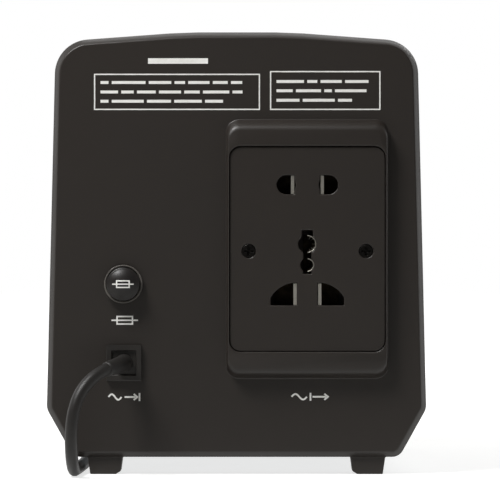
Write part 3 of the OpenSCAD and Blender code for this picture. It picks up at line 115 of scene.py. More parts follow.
def add(tree, kind, settings=None, inputs=None):
    """Adds a node with its settings, and sets or links its inputs."""
    node = tree.nodes.new("ShaderNode" + kind)
    for key, value in (settings or {}).items():
        setattr(node, key, value)
    for key, value in (inputs or {}).items():
        if isinstance(value, bpy.types.NodeSocket):
            tree.links.new(value, node.inputs[key])
        else:
            node.inputs[key].default_value = value
    return node


def bare_finish(name, sockets=None):
    """A material with its shader, and the surface's place in millimetres."""
    material = bpy.data.materials.new(name)
    material.use_nodes = True
    tree = material.node_tree
    tree.nodes.clear()
    shader = add(tree, "BsdfPrincipled", inputs=sockets)
    add(tree, "OutputMaterial", inputs={"Surface": shader.outputs["BSDF"]})
    place = add(tree, "VectorMath", {"operation": "SCALE"},
                {0: add(tree, "TexCoord").outputs["Object"], "Scale": 1 / MM}).outputs[0]
    return material, tree, shader, place


def noise(tree, place, size, detail=3.0, stretch=None):
    """Cloudy noise whose features are about size millimetres, stretched by the given factors."""
    if stretch:
        place = add(tree, "VectorMath", {"operation": "DIVIDE"}, {0: place, 1: stretch}).outputs[0]
    return add(tree, "TexNoise", inputs={
        "Vector": place, "Scale": 1 / size, "Detail": detail, "Roughness": 0.55}).outputs["Fac"]


def span(tree, value, low, high, from_low=0.0, from_high=1.0, curve="LINEAR"):
    """Carries a value over to the range from low to high."""
    return add(tree, "MapRange", {"interpolation_type": curve}, {
        "Value": value, "From Min": from_low, "From Max": from_high,
        "To Min": low, "To Max": high}).outputs["Result"]


def blend(tree, share, a, b):
    """Between two colours, each a hex value or a socket."""
    a, b = (linear(c) if isinstance(c, str) else c for c in (a, b))
    return add(tree, "Mix", {"data_type": "RGBA"}, {0: share, 6: a, 7: b}).outputs[2]


def relief(tree, shader, height, depth):
    """Raises the surface by height, from 0 to 1, times depth in millimetres."""
    bump = add(tree, "Bump", inputs={"Height": height, "Distance": depth * MM})
    tree.links.new(bump.outputs["Normal"], shader.inputs["Normal"])


# Most of the noise lies between these two values.
NOISE_LOW = 0.3
NOISE_HIGH = 0.7
GRAIN_DETAIL = 2.0
# The wave texture's spacing along an axis at a scale of 1, for straight and for diagonal bands.
BAND_UNIT = 2 * pi / 20
DIAGONAL_UNIT = 2 * pi / 10


def finish(name, light, dark, patch, rough, spread, grain, depth, stretch=None, **sockets):
    """Colour and gloss drift over patches, and a fine grain stands on the surface.
    patch, grain and depth are millimetres, rough is the mean roughness, spread its drift to each side."""
    material, tree, shader, place = bare_finish(name, sockets=sockets)
    cloud = span(tree, noise(tree, place, patch, stretch=stretch), 0, 1, NOISE_LOW, NOISE_HIGH)
    tree.links.new(blend(tree, cloud, dark, light), shader.inputs["Base Color"])
    tree.links.new(span(tree, cloud, rough + spread, rough - spread), shader.inputs["Roughness"])
    relief(tree, shader, noise(tree, place, grain, GRAIN_DETAIL, stretch), depth)
    return material


def banded(name, groove, face, axis, pitch, rough, depth, **sockets):
    """Bands across one axis, pitch millimetres apart, dark and sunk between them."""
    material, tree, shader, place = bare_finish(name, sockets=sockets)
    patch, darkest, groove_rougher = 9, 0.75, 0.15
    wave = add(tree, "TexWave", {"wave_type": "BANDS", "bands_direction": axis}, {
        "Vector": place, "Scale": BAND_UNIT / pitch, "Distortion": 0.4, "Detail": 1.0,
        "Detail Scale": 0.5}).outputs["Fac"]
    cloud = span(tree, noise(tree, place, patch), darkest, 1, NOISE_LOW, NOISE_HIGH)
    share = add(tree, "Math", {"operation": "MULTIPLY"}, {0: wave, 1: cloud}).outputs[0]
    tree.links.new(blend(tree, share, groove, face), shader.inputs["Base Color"])
    tree.links.new(span(tree, share, rough + groove_rougher, rough), shader.inputs["Roughness"])
    relief(tree, shader, wave, depth)
    return material


# ABS moulded in a spark-eroded tool: a satin charcoal, warm in tone, with a fine even grain.
# The grain is 0.15 mm on the real panel and is drawn at 0.5 mm, so that it shows.
abs_panel = finish("abs_spark_eroded", "2e2925", "292420", patch=45, rough=0.42, spread=0.04, grain=0.5,
                   depth=0.01)
# Polycarbonate plate from a finer tool: a shade glossier and a touch lighter than the panel.
polycarbonate = finish("polycarbonate_fine_grain", "2f2a26", "2a2521", patch=40, rough=0.4, spread=0.04,
                       grain=0.35, depth=0.005)
# White two-part pad-print ink: opaque, slightly uneven where the pad pulled off.
pad_ink = finish("pad_print_ink", "fdfcf8", "f1f0ea", patch=2.2, rough=0.5, spread=0.06, grain=0.3,
                 depth=0.004)
# Brass spring leaf with bright nickel: pale grey metal with the rolling lines along its length.
nickel_leaf = finish("brass_nickel_plated", "e6e2d8", "c6c1b6", patch=1.6, rough=0.38, spread=0.07,
                     grain=0.4, depth=0.004, stretch=(1, 1, 6), Metallic=1.0)
# The same brass deep in the socket, painted a dark brown as painted shade, so that little of it shows.
leaf_painted_shade = finish("brass_painted_shade", "4a4034", "2f2921", patch=3, rough=0.5, spread=0.08,
                        grain=0.5, depth=0.004, Metallic=1.0)
# Steel screw with a black oxide: near-black metal, dull where the driver has touched it.
black_oxide = finish("steel_black_oxide", "2f2d2b", "1d1c1b", patch=1.4, rough=0.4, spread=0.08,
                     grain=0.3, depth=0.006, Metallic=1.0)
# Phenolic resin, compression moulded: near-black brown with a soft polish.
phenolic = finish("phenolic_polished", "262321", "1d1a19", patch=7, rough=0.38, spread=0.05, grain=0.6,
                  depth=0.003)
# The same resin on the fuse holder's ring, painted a lighter grey as a painted sheen for the light that the
# ring catches.
ring_painted_sheen = finish("phenolic_painted_sheen", "6a6661", "5b5753", patch=5, rough=0.34, spread=0.05, grain=0.6,
                     depth=0.003)
# Tinned brass of the fuse's ends and cup.
tinned_brass = finish("brass_tinned", "d3d2ce", "a9a8a4", patch=1.5, rough=0.24, spread=0.07, grain=0.3,
                      depth=0.003, Metallic=1.0)
# Polyamide bushing and the soft PVC moulded on the cord: matt black with a faint warm tone.
polyamide = finish("polyamide_moulded", "2c2926", "252220", patch=12, rough=0.42, spread=0.06, grain=0.4,
                   depth=0.008)
soft_pvc = finish("pvc_soft_moulded", "272422", "201e1c", patch=10, rough=0.5, spread=0.06, grain=0.5,
                  depth=0.008)
# Extruded PVC sheath: satin, with a shallow wave that the filler cores leave along it.
cord_pvc = finish("pvc_extruded_sheath", "262321", "1f1d1b", patch=16, rough=0.46, spread=0.05,
                  grain=1.1, depth=0.02)
# Brass plug pins, turned bright by use.
pin_brass = finish("brass_bright", "d8bf7c", "b0935a", patch=4, rough=0.22, spread=0.07, grain=0.5,
                   depth=0.003, stretch=(5, 1, 1), Metallic=1.0)
# Fine-textured powder coat on sheet steel: small even pimples, charcoal.
powder_coat = finish("powder_coat_fine_texture", "3a3938", "363534", patch=40, rough=0.55, spread=0.03,
                     grain=0.7, depth=0.05)
# Bright zinc on screws and studs: bluish white metal.
zinc_plate = finish("steel_zinc_plated", "c4c9cd", "9ba1a6", patch=2.5, rough=0.3, spread=0.08,
                    grain=0.4, depth=0.004, Metallic=1.0)
# Relay cases: blue PBT, moulded glossy.
relay_blue = finish("pbt_relay_blue", "2a5cae", "214b93", patch=8, rough=0.32, spread=0.05, grain=0.5,
                    depth=0.004)
# Shrink sleeve of the capacitors: dark blue PVC film drawn tight.
shrink_sleeve = finish("pvc_shrink_sleeve", "30355a", "252944", patch=6, rough=0.28, spread=0.06,
                       grain=1.2, depth=0.01)
# Epoxy moulding compound of the chip: flat black.
chip_epoxy = finish("epoxy_moulding", "262628", "1c1c1e", patch=3, rough=0.55, spread=0.06, grain=0.2,
                    depth=0.006)
# Nylon bobbin: creamy, waxy, and a little translucent.
nylon = finish("nylon_moulded", "d9cda4", "c8ba8c", patch=12, rough=0.42, spread=0.05, grain=0.6,
               depth=0.006, **{"Subsurface Weight": 0.1, "Subsurface Radius": (0.002, 0.0015, 0.001)})
# Urea resin of the terminal strip and header: ivory and hard.
urea = finish("urea_ivory", "e6e1d2", "d6cfbd", patch=9, rough=0.35, spread=0.05, grain=0.6, depth=0.004)
# Phenolic insulator behind the socket plate: brown, dull from its wood filler.
insulator = finish("phenolic_wood_filled", "564a43", "463c37", patch=3, rough=0.55, spread=0.06,
                   grain=0.5, depth=0.01)
# Polyamide of the switch bodies, and the polycarbonate of the red rocker and button.
switch_black = finish("polyamide_switch_black", "242425", "1b1b1c", patch=9, rough=0.36, spread=0.05,
                      grain=0.4, depth=0.006)
rocker_red = finish("polycarbonate_red", "b8242b", "a01c24", patch=11, rough=0.24, spread=0.04,
                    grain=0.6, depth=0.003, **{"Coat Weight": 0.15})
button_red = finish("polycarbonate_red_button", "93222a", "7e1a21", patch=5, rough=0.26, spread=0.04,
                    grain=0.5, depth=0.003)
# Unlit segments of the digits: diffused resin, pale grey.
segment_grey = finish("epoxy_segment_diffused", "8f8a86", "7f7a76", patch=2, rough=0.35, spread=0.05,
                      grain=0.3, depth=0.003)
digit_black = finish("digit_face_painted", "1e1d1e", "161516", patch=5, rough=0.5, spread=0.05,
                     grain=0.4, depth=0.004)
# Silicon steel sheets of the core, 0.5 mm each, drawn 1 mm apart so that they show, under varnish.
lamination = banded("silicon_steel_stack", "2c2f33", "7d8288", "Y", pitch=1.0, rough=0.38, depth=0.05,
                    Metallic=0.8)
# Enamelled copper, 0.9 mm across: turn beside turn, amber where the varnish is thick.
magnet_wire = banded("copper_enamelled", "5b2f12", "c77a3a", "Z", pitch=0.9, rough=0.25, depth=0.25,
                     Metallic=0.85)


def galvanised():
    """Hot-dip galvanised sheet: crystals of zinc, 6 mm across on average, each with its own shade."""
    crystal, ripple, ripple_depth = 6, 1.5, 0.01
    dullest, brightest = 0.45, 0.3
    material, tree, shader, place = bare_finish("steel_galvanised", sockets={"Metallic": 1.0})
    cell = add(tree, "TexVoronoi", inputs={"Vector": place, "Scale": 1 / crystal}).outputs["Color"]
    shade = add(tree, "SeparateColor", inputs={"Color": cell}).outputs["Red"]
    tree.links.new(blend(tree, shade, "8f9598", "abb0b3"), shader.inputs["Base Color"])
    tree.links.new(span(tree, shade, dullest, brightest), shader.inputs["Roughness"])
    relief(tree, shader, noise(tree, place, ripple), ripple_depth)
    return material


def circuit_board():
    """Glass-epoxy board under green solder mask: the tracks beneath show as lighter green lines."""
    patch, track_depth = 5, 0.03
    brightest, dullest = 0.25, 0.4
    material, tree, shader, place = bare_finish("glass_epoxy_board", sockets={"Coat Weight": 0.3})
    tracks = add(tree, "TexBrick", {"offset": 0.5}, {
        "Vector": place, "Color1": (1, 1, 1, 1), "Color2": (0.6, 0.6, 0.6, 1),
        "Mortar": (0, 0, 0, 1), "Scale": 1.0, "Mortar Size": 0.35, "Brick Width": 7.0,
        "Row Height": 2.2}).outputs["Color"]
    share = add(tree, "SeparateColor", inputs={"Color": tracks}).outputs["Red"]
    tree.links.new(blend(tree, share, "1d4a28", "2f6f3b"), shader.inputs["Base Color"])
    tree.links.new(span(tree, noise(tree, place, patch), brightest, dullest), shader.inputs["Roughness"])
    relief(tree, shader, share, track_depth)
    return material


def wire_pvc(name, colour, shade, stripe=None):
    """Insulation of a single wire: glossy PVC, with a stripe of a second colour where it has one."""
    patch, smear, grain, depth = 6, 3, 0.8, 0.01
    stripe_pitch, stripe_from = 8.976, 0.6
    brightest, dullest = 0.28, 0.4
    material, tree, shader, place = bare_finish(name)
    tone = blend(tree, noise(tree, place, patch), shade, colour)
    if stripe:
        wave = add(tree, "TexWave", {"wave_type": "BANDS", "bands_direction": "DIAGONAL"}, {
            "Vector": place, "Scale": DIAGONAL_UNIT / stripe_pitch}).outputs["Fac"]
        edge = add(tree, "Math", {"operation": "GREATER_THAN"}, {0: wave, 1: stripe_from}).outputs[0]
        tone = blend(tree, edge, tone, stripe)
    tree.links.new(tone, shader.inputs["Base Color"])
    gloss = span(tree, noise(tree, place, smear), brightest, dullest)
    tree.links.new(gloss, shader.inputs["Roughness"])
    relief(tree, shader, noise(tree, place, grain), depth)
    return material


def clear(name, tint, edge_tint, rough, ior):
    """A transparent piece, tinted through its body, with the faint haze of handling on its gloss."""
    patch, smear, haze = 12, 4, 0.04
    material, tree, shader, place = bare_finish(name, sockets={
        "Transmission Weight": 1.0, "IOR": ior})
    tree.links.new(blend(tree, noise(tree, place, patch), tint, edge_tint), shader.inputs["Base Color"])
    tree.links.new(span(tree, noise(tree, place, smear), rough, rough + haze), shader.inputs["Roughness"])
    return material


zinc_spangle = galvanised()
board_green = circuit_board()
# Smoked acrylic lens over the display, and the soda glass of the fuse tube.
smoked_acrylic = clear("acrylic_smoked", "7a6a6a", "6e5f5f", rough=0.03, ior=1.49)
fuse_tube = clear("soda_glass_tube", "eef4f3", "e8f0ee", rough=0.02, ior=1.52)
# Diffused epoxy lamps, unlit: milky colour right through.
lamp_colours = [
    finish(f"epoxy_lamp_{word}", light, dark, patch=2, rough=0.3, spread=0.04, grain=0.3, depth=0.003,
           **{"Subsurface Weight": 0.3, "Subsurface Radius": (0.001, 0.001, 0.001)})
    for word, light, dark in (("green", "7fbf74", "6aa862"), ("amber", "dca94c", "c8953d"),
                              ("red", "c95550", "b34541"))]
wire_brown = wire_pvc("pvc_wire_brown", "6b3d22", "5a321b")
wire_blue = wire_pvc("pvc_wire_blue", "2c62b4", "24539b")
wire_earth = wire_pvc("pvc_wire_earth", "3f8f3c", "357a33", "e4cf3a")
wire_red = wire_pvc("pvc_wire_red", "b02c2a", "972423")
wire_black = wire_pvc("pvc_wire_black", "29292b", "1f1f21")
wire_white = wire_pvc("pvc_wire_white", "dcdad4", "c9c7c1")
wire_yellow = wire_pvc("pvc_wire_yellow", "d9b93a", "c4a52f")
ribbon_grey = banded("pvc_ribbon_cable", "8d9096", "c2c5ca", "X", pitch=1.27, rough=0.4, depth=0.15)


# Pieces

def shown(name, form, material, body, replaces=()):
    """A finished mesh as a piece of the object. material is one finish or a list of them."""
    mesh = bpy.data.meshes.new(name)
    form.to_mesh(mesh)
    form.free()
    for one in material if isinstance(material, list) else [material]:
        mesh.materials.append(one)
    piece = bpy.data.objects.new(name, mesh)
    scene.collection.objects.link(piece)
    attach(piece, body)
    if replaces:
        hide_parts(*replaces)
    return piece


def body_of(node):
    return frame["nodes"][node]["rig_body"]


SHARP = radians(32)
# Corners this close are one, a bend this small is flat, and an edge this short is none.
WELD = 0.002 * MM
FLAT = radians(0.6)
SLIVER = 0.001 * MM


def joined(node):
    """A CAD node's faces with split corners welded and flat parts joined, all shaded smooth."""
    form = bmesh.new()
    form.from_mesh(frame["nodes"][node].data)
    bmesh.ops.remove_doubles(form, verts=form.verts, dist=WELD)
    bmesh.ops.dissolve_limit(form, angle_limit=FLAT, verts=form.verts, edges=form.edges)
    bmesh.ops.dissolve_degenerate(form, dist=SLIVER, edges=form.edges)
    for layer in list(form.loops.layers.float_vector.values()):
        form.loops.layers.float_vector.remove(layer)
    for edge in form.edges:
        edge.smooth = True
    for face in form.faces:
        face.smooth = True
        face.material_index = 0
    return form


def dressed(node, radius, material, share=None, segments=2, colour_of=None, sharp=SHARP):
    """A CAD node with its sharp edges rounded to radius millimetres, which stands for that node.
    share gives the part of radius that an edge takes, from the edge's middle."""
    form = joined(node)
    weight = form.edges.layers.float.new("bevel_weight_edge")
    for edge in form.edges:
        if len(edge.link_faces) == 2 and edge.calc_face_angle(0) > sharp:
            mid = (edge.verts[0].co + edge.verts[1].co) / 2
            edge[weight] = share(mid) if share else 1.0
    if colour_of:
        for face in form.faces:
            face.material_index = colour_of(face)
    piece = shown(node + "_dressed", form, material, body_of(node), [node])
    for name in ("custom_normal", "sharp_face"):
        if name in piece.data.attributes:
            piece.data.attributes.remove(piece.data.attributes[name])
    bevel = piece.modifiers.new("rounded_edges", "BEVEL")
    bevel.limit_method = "WEIGHT"
    bevel.width = radius * MM
    bevel.segments = segments
    bevel.use_clamp_overlap = False
    bevel.harden_normals = True
    return piece


def islands(form):
    """The separate solids of a mesh, as sets of faces, from the lowest X to the highest."""
    left, found = set(form.faces), []
    while left:
        front, group = [left.pop()], set()
        while front:
            face = front.pop()
            group.add(face)
            for edge in face.edges:
                for other in edge.link_faces:
                    if other in left:
                        left.remove(other)
                        front.append(other)
        found.append(group)
    return sorted(found, key=lambda g: round(min(v.co.x for f in g for v in f.verts) / MM, 2))


def coloured(node, radius, materials):
    """A CAD node of several solids, each with the next of the finishes from left to right."""
    form = joined(node)
    groups = islands(form)
    index = {face.index: i % len(materials) for i, group in enumerate(groups) for face in group}
    form.free()
    return dressed(node, radius, materials, colour_of=lambda face: index[face.index])


# The free cord. It repeats the CAD source's route, in millimetres.
CORD_D = 5.0
CORD_R = CORD_D / 2
BUSHING_OUT = 2.4
BUSHING_RECESS = 1.2
CORD_X = -45
CORD_Z = 44.7
DROP = [
    (-45, -109.2, 44.7), (-46.9, -116.9, 44.2), (-51.2, -123.6, 42.7), (-56.5, -128.5, 39.4),
    (-61, -131.9, 33.7), (-63.6, -133.5, 26.4), (-64.6, -132.8, 18.5), (-64.7, -129.4, 11.3),
    (-64.5, -123.6, 5.9), (-64.2, -116.2, 2.9), (-63.9, -108.3, 2.5), (-63.5, -98, 2.5),
    (-63.1, -86, 2.5), (-62.7, -74, 2.5), (-62.5, -62, 2.5)]
RELIEF_LAST = 3
RUN_STEPS = 14
COIL_GAP = 8.0
COIL_PITCH = 5.6
COIL_MIDDLE_R = 29.6
COIL_TURNS = 3
COIL_LEAD = CORD_D
COIL_CLIMB = 180
COIL_STEP = 15
TAIL = 34.0
TAIL_STEPS = 6
PLUG_H = 27.0
coil_in = COIL_MIDDLE_R - (COIL_TURNS + 0.5) * COIL_PITCH / 2
coil_in_angle = 360 * (COIL_TURNS + 0.5)
coil_out = coil_in + COIL_PITCH * coil_in_angle / 360
# The coil ends where it runs towards +X.
coil_end_angle = 2 * coil_in_angle - 270


def coil_point(centre, angle):
    """Spirals in on the lower layer, climbs to the upper one in half a turn and spirals out again."""
    radius = coil_in + COIL_PITCH * abs(coil_in_angle - angle) / 360
    climbed = (angle - coil_in_angle + COIL_CLIMB / 2) / COIL_CLIMB
    height = CORD_R + COIL_PITCH * max(0, min(1, climbed))
    return Vector((centre[0] - radius * cos(radians(angle)),
                   centre[1] + radius * sin(radians(angle)), height))


def cord_points():
    """The route's points from the bushing to the plug, in metres."""
    start = Vector((CORD_X, rear_y / MM + BUSHING_RECESS - BUSHING_OUT, CORD_Z))
    points = [start] + [Vector(p) for p in DROP]
    run_from = points[-1]
    run_end_y = front_y / MM + COIL_GAP + coil_out + CORD_R - COIL_LEAD
    points += [Vector((run_from.x, run_from.y + (run_end_y - run_from.y) * i / RUN_STEPS, CORD_R))
               for i in range(1, RUN_STEPS + 1)]
    centre = (points[-1].x + coil_out, points[-1].y + COIL_LEAD)
    points += [coil_point(centre, COIL_STEP * i) for i in range(int(coil_end_angle / COIL_STEP) + 1)]
    last, rise = points[-1], PLUG_H / 2 - points[-1].z
    points += [last + Vector(((TAIL - COIL_LEAD) * t, 0, rise * t * t * (3 - 2 * t)))
               for t in (i / TAIL_STEPS for i in range(1, TAIL_STEPS + 1))]
    points.append(last + Vector((TAIL, 0, rise)))
    return [p * MM for p in points]


def curved(points, steps):
    """A smooth line through the points, with steps stretches between neighbours."""
    line = []
    for i in range(len(points) - 1):
        a, b = points[max(i - 1, 0)], points[i]
        c, d = points[i + 1], points[min(i + 2, len(points) - 1)]
        for k in range(steps):
            t = k / steps
            line.append(0.5 * (2 * b + (c - a) * t + (2 * a - 5 * b + 4 * c - d) * t * t
                               + (3 * b - a - 3 * c + d) * t ** 3))
    return line + [points[-1]]


def swept(form, line, radii, sides):
    """A closed round tube along a line, with a radius at each point."""
    side = Vector((0, 0, 1))
    rings = []
    for i, point in enumerate(line):
        ahead = (line[min(i + 1, len(line) - 1)] - line[max(i - 1, 0)]).normalized()
        side = (side - ahead * side.dot(ahead)).normalized()
        other = ahead.cross(side)
        rings.append([form.verts.new(point + radii[i] * (
            cos(2 * pi * k / sides) * side + sin(2 * pi * k / sides) * other)) for k in range(sides)])
    for low, high in zip(rings, rings[1:]):
        for k in range(sides):
            n = (k + 1) % sides
            form.faces.new((low[k], low[n], high[n], high[k]))
    form.faces.new(list(reversed(rings[0])))
    form.faces.new(rings[-1])
    for face in form.faces:
        face.smooth = len(face.verts) == 4


# Stretches between two points of the route, and sides of the relief
CORD_STEPS = 4
RELIEF_STEPS = 8
RELIEF_SIDES = 28
route = cord_points()
cord_curve = bpy.data.curves.new("supply_cord_line", "CURVE")
cord_curve.dimensions = "3D"
spline = cord_curve.splines.new("POLY")
cord_line = curved(route, CORD_STEPS)
spline.points.add(len(cord_line) - 1)
for knot, point in zip(spline.points, cord_line):
    knot.co = (*point, 1)
cord_curve.bevel_depth = CORD_R * MM
cord_curve.bevel_resolution = 4
cord_curve.use_fill_caps = True
spline.use_smooth = True
cord_curve.materials.append(cord_pvc)
cord = bpy.data.objects.new("supply_cord_sheath", cord_curve)
scene.collection.objects.link(cord)
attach(cord, "case")
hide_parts("supply_cord", "cord_coil")

# The tapered relief, moulded on the cord's first stretch, with a short slope to the cord at its thin end.
RELIEF_R = 3.6 * MM
RELIEF_TIP_R = 2.9 * MM
relief_line = curved(route[:RELIEF_LAST + 1], RELIEF_STEPS)
relief_radii = [RELIEF_R + (RELIEF_TIP_R - RELIEF_R) * i / (len(relief_line) - 1)
                for i in range(len(relief_line))]
relief_radii[-1] = CORD_R * MM
relief_form = bmesh.new()
swept(relief_form, relief_line, relief_radii, RELIEF_SIDES)
strain_relief = shown("strain_relief_sleeve", relief_form, soft_pvc, "case",
                      ["strain_relief"])


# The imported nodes, with their edges rounded and their finishes

cap_low, cap_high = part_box("fuse_cap")
CAP_DOME = 2.2 * MM
CAP_EDGE = 0.5 * MM
CAP_SEAT_Y = rear_y - 1.7 * MM
CAP_STEM_R = 4.1 * MM
CAP_STEM_BORE_R = 3.4 * MM
CAP_SIDES = 64
CROWN_STEPS = 8
RIM_STEPS = 5
cap_radius = (cap_high.x - cap_low.x) / 2
dome_radius = (cap_radius ** 2 + CAP_DOME ** 2) / (2 * CAP_DOME)


def dome_sink(across):
    """How far the cap's crown, a shallow part of a sphere, has fallen at this distance from its axis."""
    return dome_radius - sqrt(dome_radius ** 2 - across ** 2)


def turned_cap():
    """The fuse cap, turned round its axis: crown, rounded rim, side, and the hollow stem behind."""
    crown = [(cap_radius - CAP_EDGE) * i / CROWN_STEPS for i in range(1, CROWN_STEPS + 1)]
    profile = [(r, cap_low.y + dome_sink(r)) for r in crown]
    rim_y = profile[-1][1] + CAP_EDGE
    profile += [(cap_radius - CAP_EDGE * (1 - sin(a)), rim_y - CAP_EDGE * cos(a))
                for a in (pi / 2 * i / RIM_STEPS for i in range(1, RIM_STEPS + 1))]
    profile += [(cap_radius, CAP_SEAT_Y - CAP_EDGE / 2), (cap_radius - CAP_EDGE / 2, CAP_SEAT_Y),
                (CAP_STEM_R, CAP_SEAT_Y), (CAP_STEM_R, cap_high.y), (CAP_STEM_BORE_R, cap_high.y),
                (CAP_STEM_BORE_R, rear_y)]
    form = bmesh.new()
    rings = [[form.verts.new((fuse_at.x + r * cos(a), y, fuse_at.z + r * sin(a)))
              for a in (2 * pi * k / CAP_SIDES for k in range(CAP_SIDES))] for r, y in profile]
    for low, high in zip(rings, rings[1:]):
        for k in range(CAP_SIDES):
            n = (k + 1) % CAP_SIDES
            form.faces.new((low[k], low[n], high[n], high[k]))
    for ring, y in ((rings[0], cap_low.y), (rings[-1], rear_y)):
        tip = form.verts.new((fuse_at.x, y, fuse_at.z))
        for k in range(CAP_SIDES):
            form.faces.new((ring[k], ring[(k + 1) % CAP_SIDES], tip))
    bmesh.ops.recalc_face_normals(form, faces=form.faces)
    for edge in form.edges:
        edge.smooth = edge.calc_face_angle(0) < SHARP
    for face in form.faces:
        face.smooth = True
    return shown("fuse_cap_turned", form, phenolic, body_of("fuse_cap"),
                 ["fuse_cap"])


HOUSING_FRONT = 5.5 * MM
RECESS_HALF_H = 41.0 * MM
RECESS_CORNER = 4.6 * MM
PANEL_SHARP = radians(44)
PANEL_SHARE = 0.6
THIN_RIM_SHARE = 0.15


def panel_edge(at):
    """The rounded mouth of the plate's recess narrows beside the plate, where the housing's rim is thin."""
    if at.y > rear_y - HOUSING_FRONT:
        return PANEL_SHARE
    up = abs(at.z - plate_at.z)
    widening = max(0, min(1, 1 + (up - RECESS_HALF_H) / RECESS_CORNER))
    return THIN_RIM_SHARE + (1 - THIN_RIM_SHARE) * widening


CONTACT_SHOWN = 1.4 * MM
RING_INNER_R = 7.2 * MM
RING_FRONT = 1.5 * MM
RING_SLOPE_FRONT = 2 * MM
RING_SHARE = 0.4


def behind_plate(face):
    """0 on the leaves' bright front ends, and 1 on what lies deep in the socket, which takes the painted
    shade.
    """
    return int(face.calc_center_median().y > plate_at.y + CONTACT_SHOWN)


def on_ring(face):
    """1 on the front and the inner wall of the fuse holder's ring, which take the painted sheen, and 0
    elsewhere.
    """
    return int(face.calc_center_median().y < rear_y - RING_FRONT)


def ring_edge(at):
    """A wide slope inside the fuse holder's ring, and small rounded edges everywhere else."""
    across = sqrt((at.x - fuse_at.x) ** 2 + (at.z - fuse_at.z) ** 2)
    return 1.0 if across < RING_INNER_R and at.y < rear_y - RING_SLOPE_FRONT else RING_SHARE


dressed("rear_panel", 0.6, abs_panel, share=panel_edge, segments=3, sharp=PANEL_SHARP)
dressed("socket_plate", 0.45, polycarbonate, segments=3)
# The leaves' faces deep in the socket are painted dark brown as painted shade.
for node in ("contact_line", "contact_neutral", "contact_earth"):
    dressed(node, 0.12, [nickel_leaf, leaf_painted_shade], colour_of=behind_plate)
dressed("socket_tray", 0.3, insulator)
dressed("socket_screws", 0.25, black_oxide)
# The ring's front and inner wall are painted a lighter grey as a painted sheen.
dressed("fuse_holder", 0.6, [phenolic, ring_painted_sheen], share=ring_edge, segments=3, colour_of=on_ring)
dressed("fuse_nut", 0.3, phenolic)
turned_cap()
dressed("fuse_contacts", 0.12, nickel_leaf)
for node in ("fuse_cup", "fuse_ends"):
    dressed(node, 0.15, tinned_brass)
dressed("fuse_wire", 0.02, tinned_brass)
dressed("fuse_glass", 0.1, fuse_tube)
dressed("cord_bushing", 0.35, polyamide, segments=3)
plug = dressed("plug_body", 0.8, soft_pvc, segments=3)
pins = dressed("plug_pins", 0.35, pin_brass)
dressed("inner_cord", 0.2, cord_pvc)
dressed("cover", 0.15, powder_coat)
dressed("chassis", 0.15, zinc_spangle)
for node in ("cover_screws", "panel_screws", "core_bolts", "deck_screws", "board_screws",
             "display_screws", "board_standoffs", "earth_stud"):
    dressed(node, 0.2, zinc_plate)
dressed("core", 0.3, lamination)
dressed("bobbin", 0.25, nylon)
dressed("winding", 0.3, magnet_wire)
dressed("core_brackets", 0.2, zinc_spangle)
dressed("control_board", 0.1, board_green)
dressed("display_board", 0.1, board_green)
dressed("relays", 0.4, relay_blue)
dressed("capacitors", 0.5, shrink_sleeve)
dressed("control_chip", 0.25, chip_epoxy)
dressed("terminal_block", 0.3, urea)
dressed("lead_header", 0.3, urea)
dressed("front_fascia", 0.35, abs_panel, segments=3)
dressed("display_window", 0.2, smoked_acrylic)
dressed("digit_modules", 0.3, digit_black)
coloured("indicator_lamps", 0.15, lamp_colours)
dressed("switch_housing", 0.35, switch_black, segments=3)
dressed("switch_rocker", 0.4, rocker_red, segments=3)
dressed("switch_tabs", 0.15, nickel_leaf)
dressed("delay_switch", 0.35, switch_black, segments=3)
dressed("delay_nut", 0.3, phenolic)
dressed("delay_button", 0.5, button_red, segments=3)
coloured("input_wires", 0.02, [wire_brown, wire_earth, wire_blue])
coloured("power_wires", 0.02, [wire_brown, wire_black, wire_blue, wire_red, wire_earth])
coloured("socket_wires", 0.02, [wire_brown, wire_earth, wire_blue])
coloured("winding_leads", 0.02, [wire_white, wire_yellow, wire_red, wire_black, wire_blue])
dressed("display_ribbon", 0.15, ribbon_grey)


# Prints: thin films of ink, partly sunk in the face that they stand on. Sizes in millimetres.

INK_T = 0.06 * MM
INK_SUNK = 0.04 * MM
STROKE = 0.5


def on_rear(u, v, out):
    """u runs to the right and v up, as one looks at the rear panel."""
    return Vector((u * MM, rear_y - out, v * MM))


def on_front(u, v, out):
    """u runs to the right as one looks at the fascia."""
    return Vector((-u * MM, front_y + out, v * MM))


def ribbon(form, points, width, place, closed=False):
    """A stroke of ink along points, mitred at its corners."""
    count = len(points)
    left, right = [], []
    for i, p in enumerate(points):
        before = points[i - 1] if closed or i else p
        after = points[(i + 1) % count] if closed or i < count - 1 else p
        ways = [Vector(b) - Vector(a) for a, b in ((before, p), (p, after)) if a != b]
        normals = [Vector((-w.y, w.x)).normalized() for w in ways]
        mitre = sum(normals, Vector((0, 0)))
        mitre = mitre / mitre.length ** 2 * 2 if len(normals) == 2 else mitre
        mitre = mitre * width / 2
        left.append(Vector(p) + mitre)
        right.append(Vector(p) - mitre)
    corners = [[form.verts.new(place(q.x, q.y, out)) for q in side]
               for out in (INK_T, -INK_SUNK) for side in (left, right)]
    lt, rt, lb, rb = corners
    for i in range(count if closed else count - 1):
        n = (i + 1) % count
        for quad in ((lt[i], lt[n], rt[n], rt[i]), (lb[i], rb[i], rb[n], lb[n]),
                     (lt[i], lb[i], lb[n], lt[n]), (rt[i], rt[n], rb[n], rb[i])):
            form.faces.new(quad)
    if not closed:
        form.faces.new((lt[0], rt[0], rb[0], lb[0]))
        form.faces.new((lt[-1], lb[-1], rb[-1], rt[-1]))


def printed(name, draw, place, body="case", ink=pad_ink):
    """A print as a piece. draw adds its strokes, and place puts them on their face."""
    form = bmesh.new()
    draw(form, place)
    bmesh.ops.recalc_face_normals(form, faces=form.faces)
    return shown(name, form, ink, body)


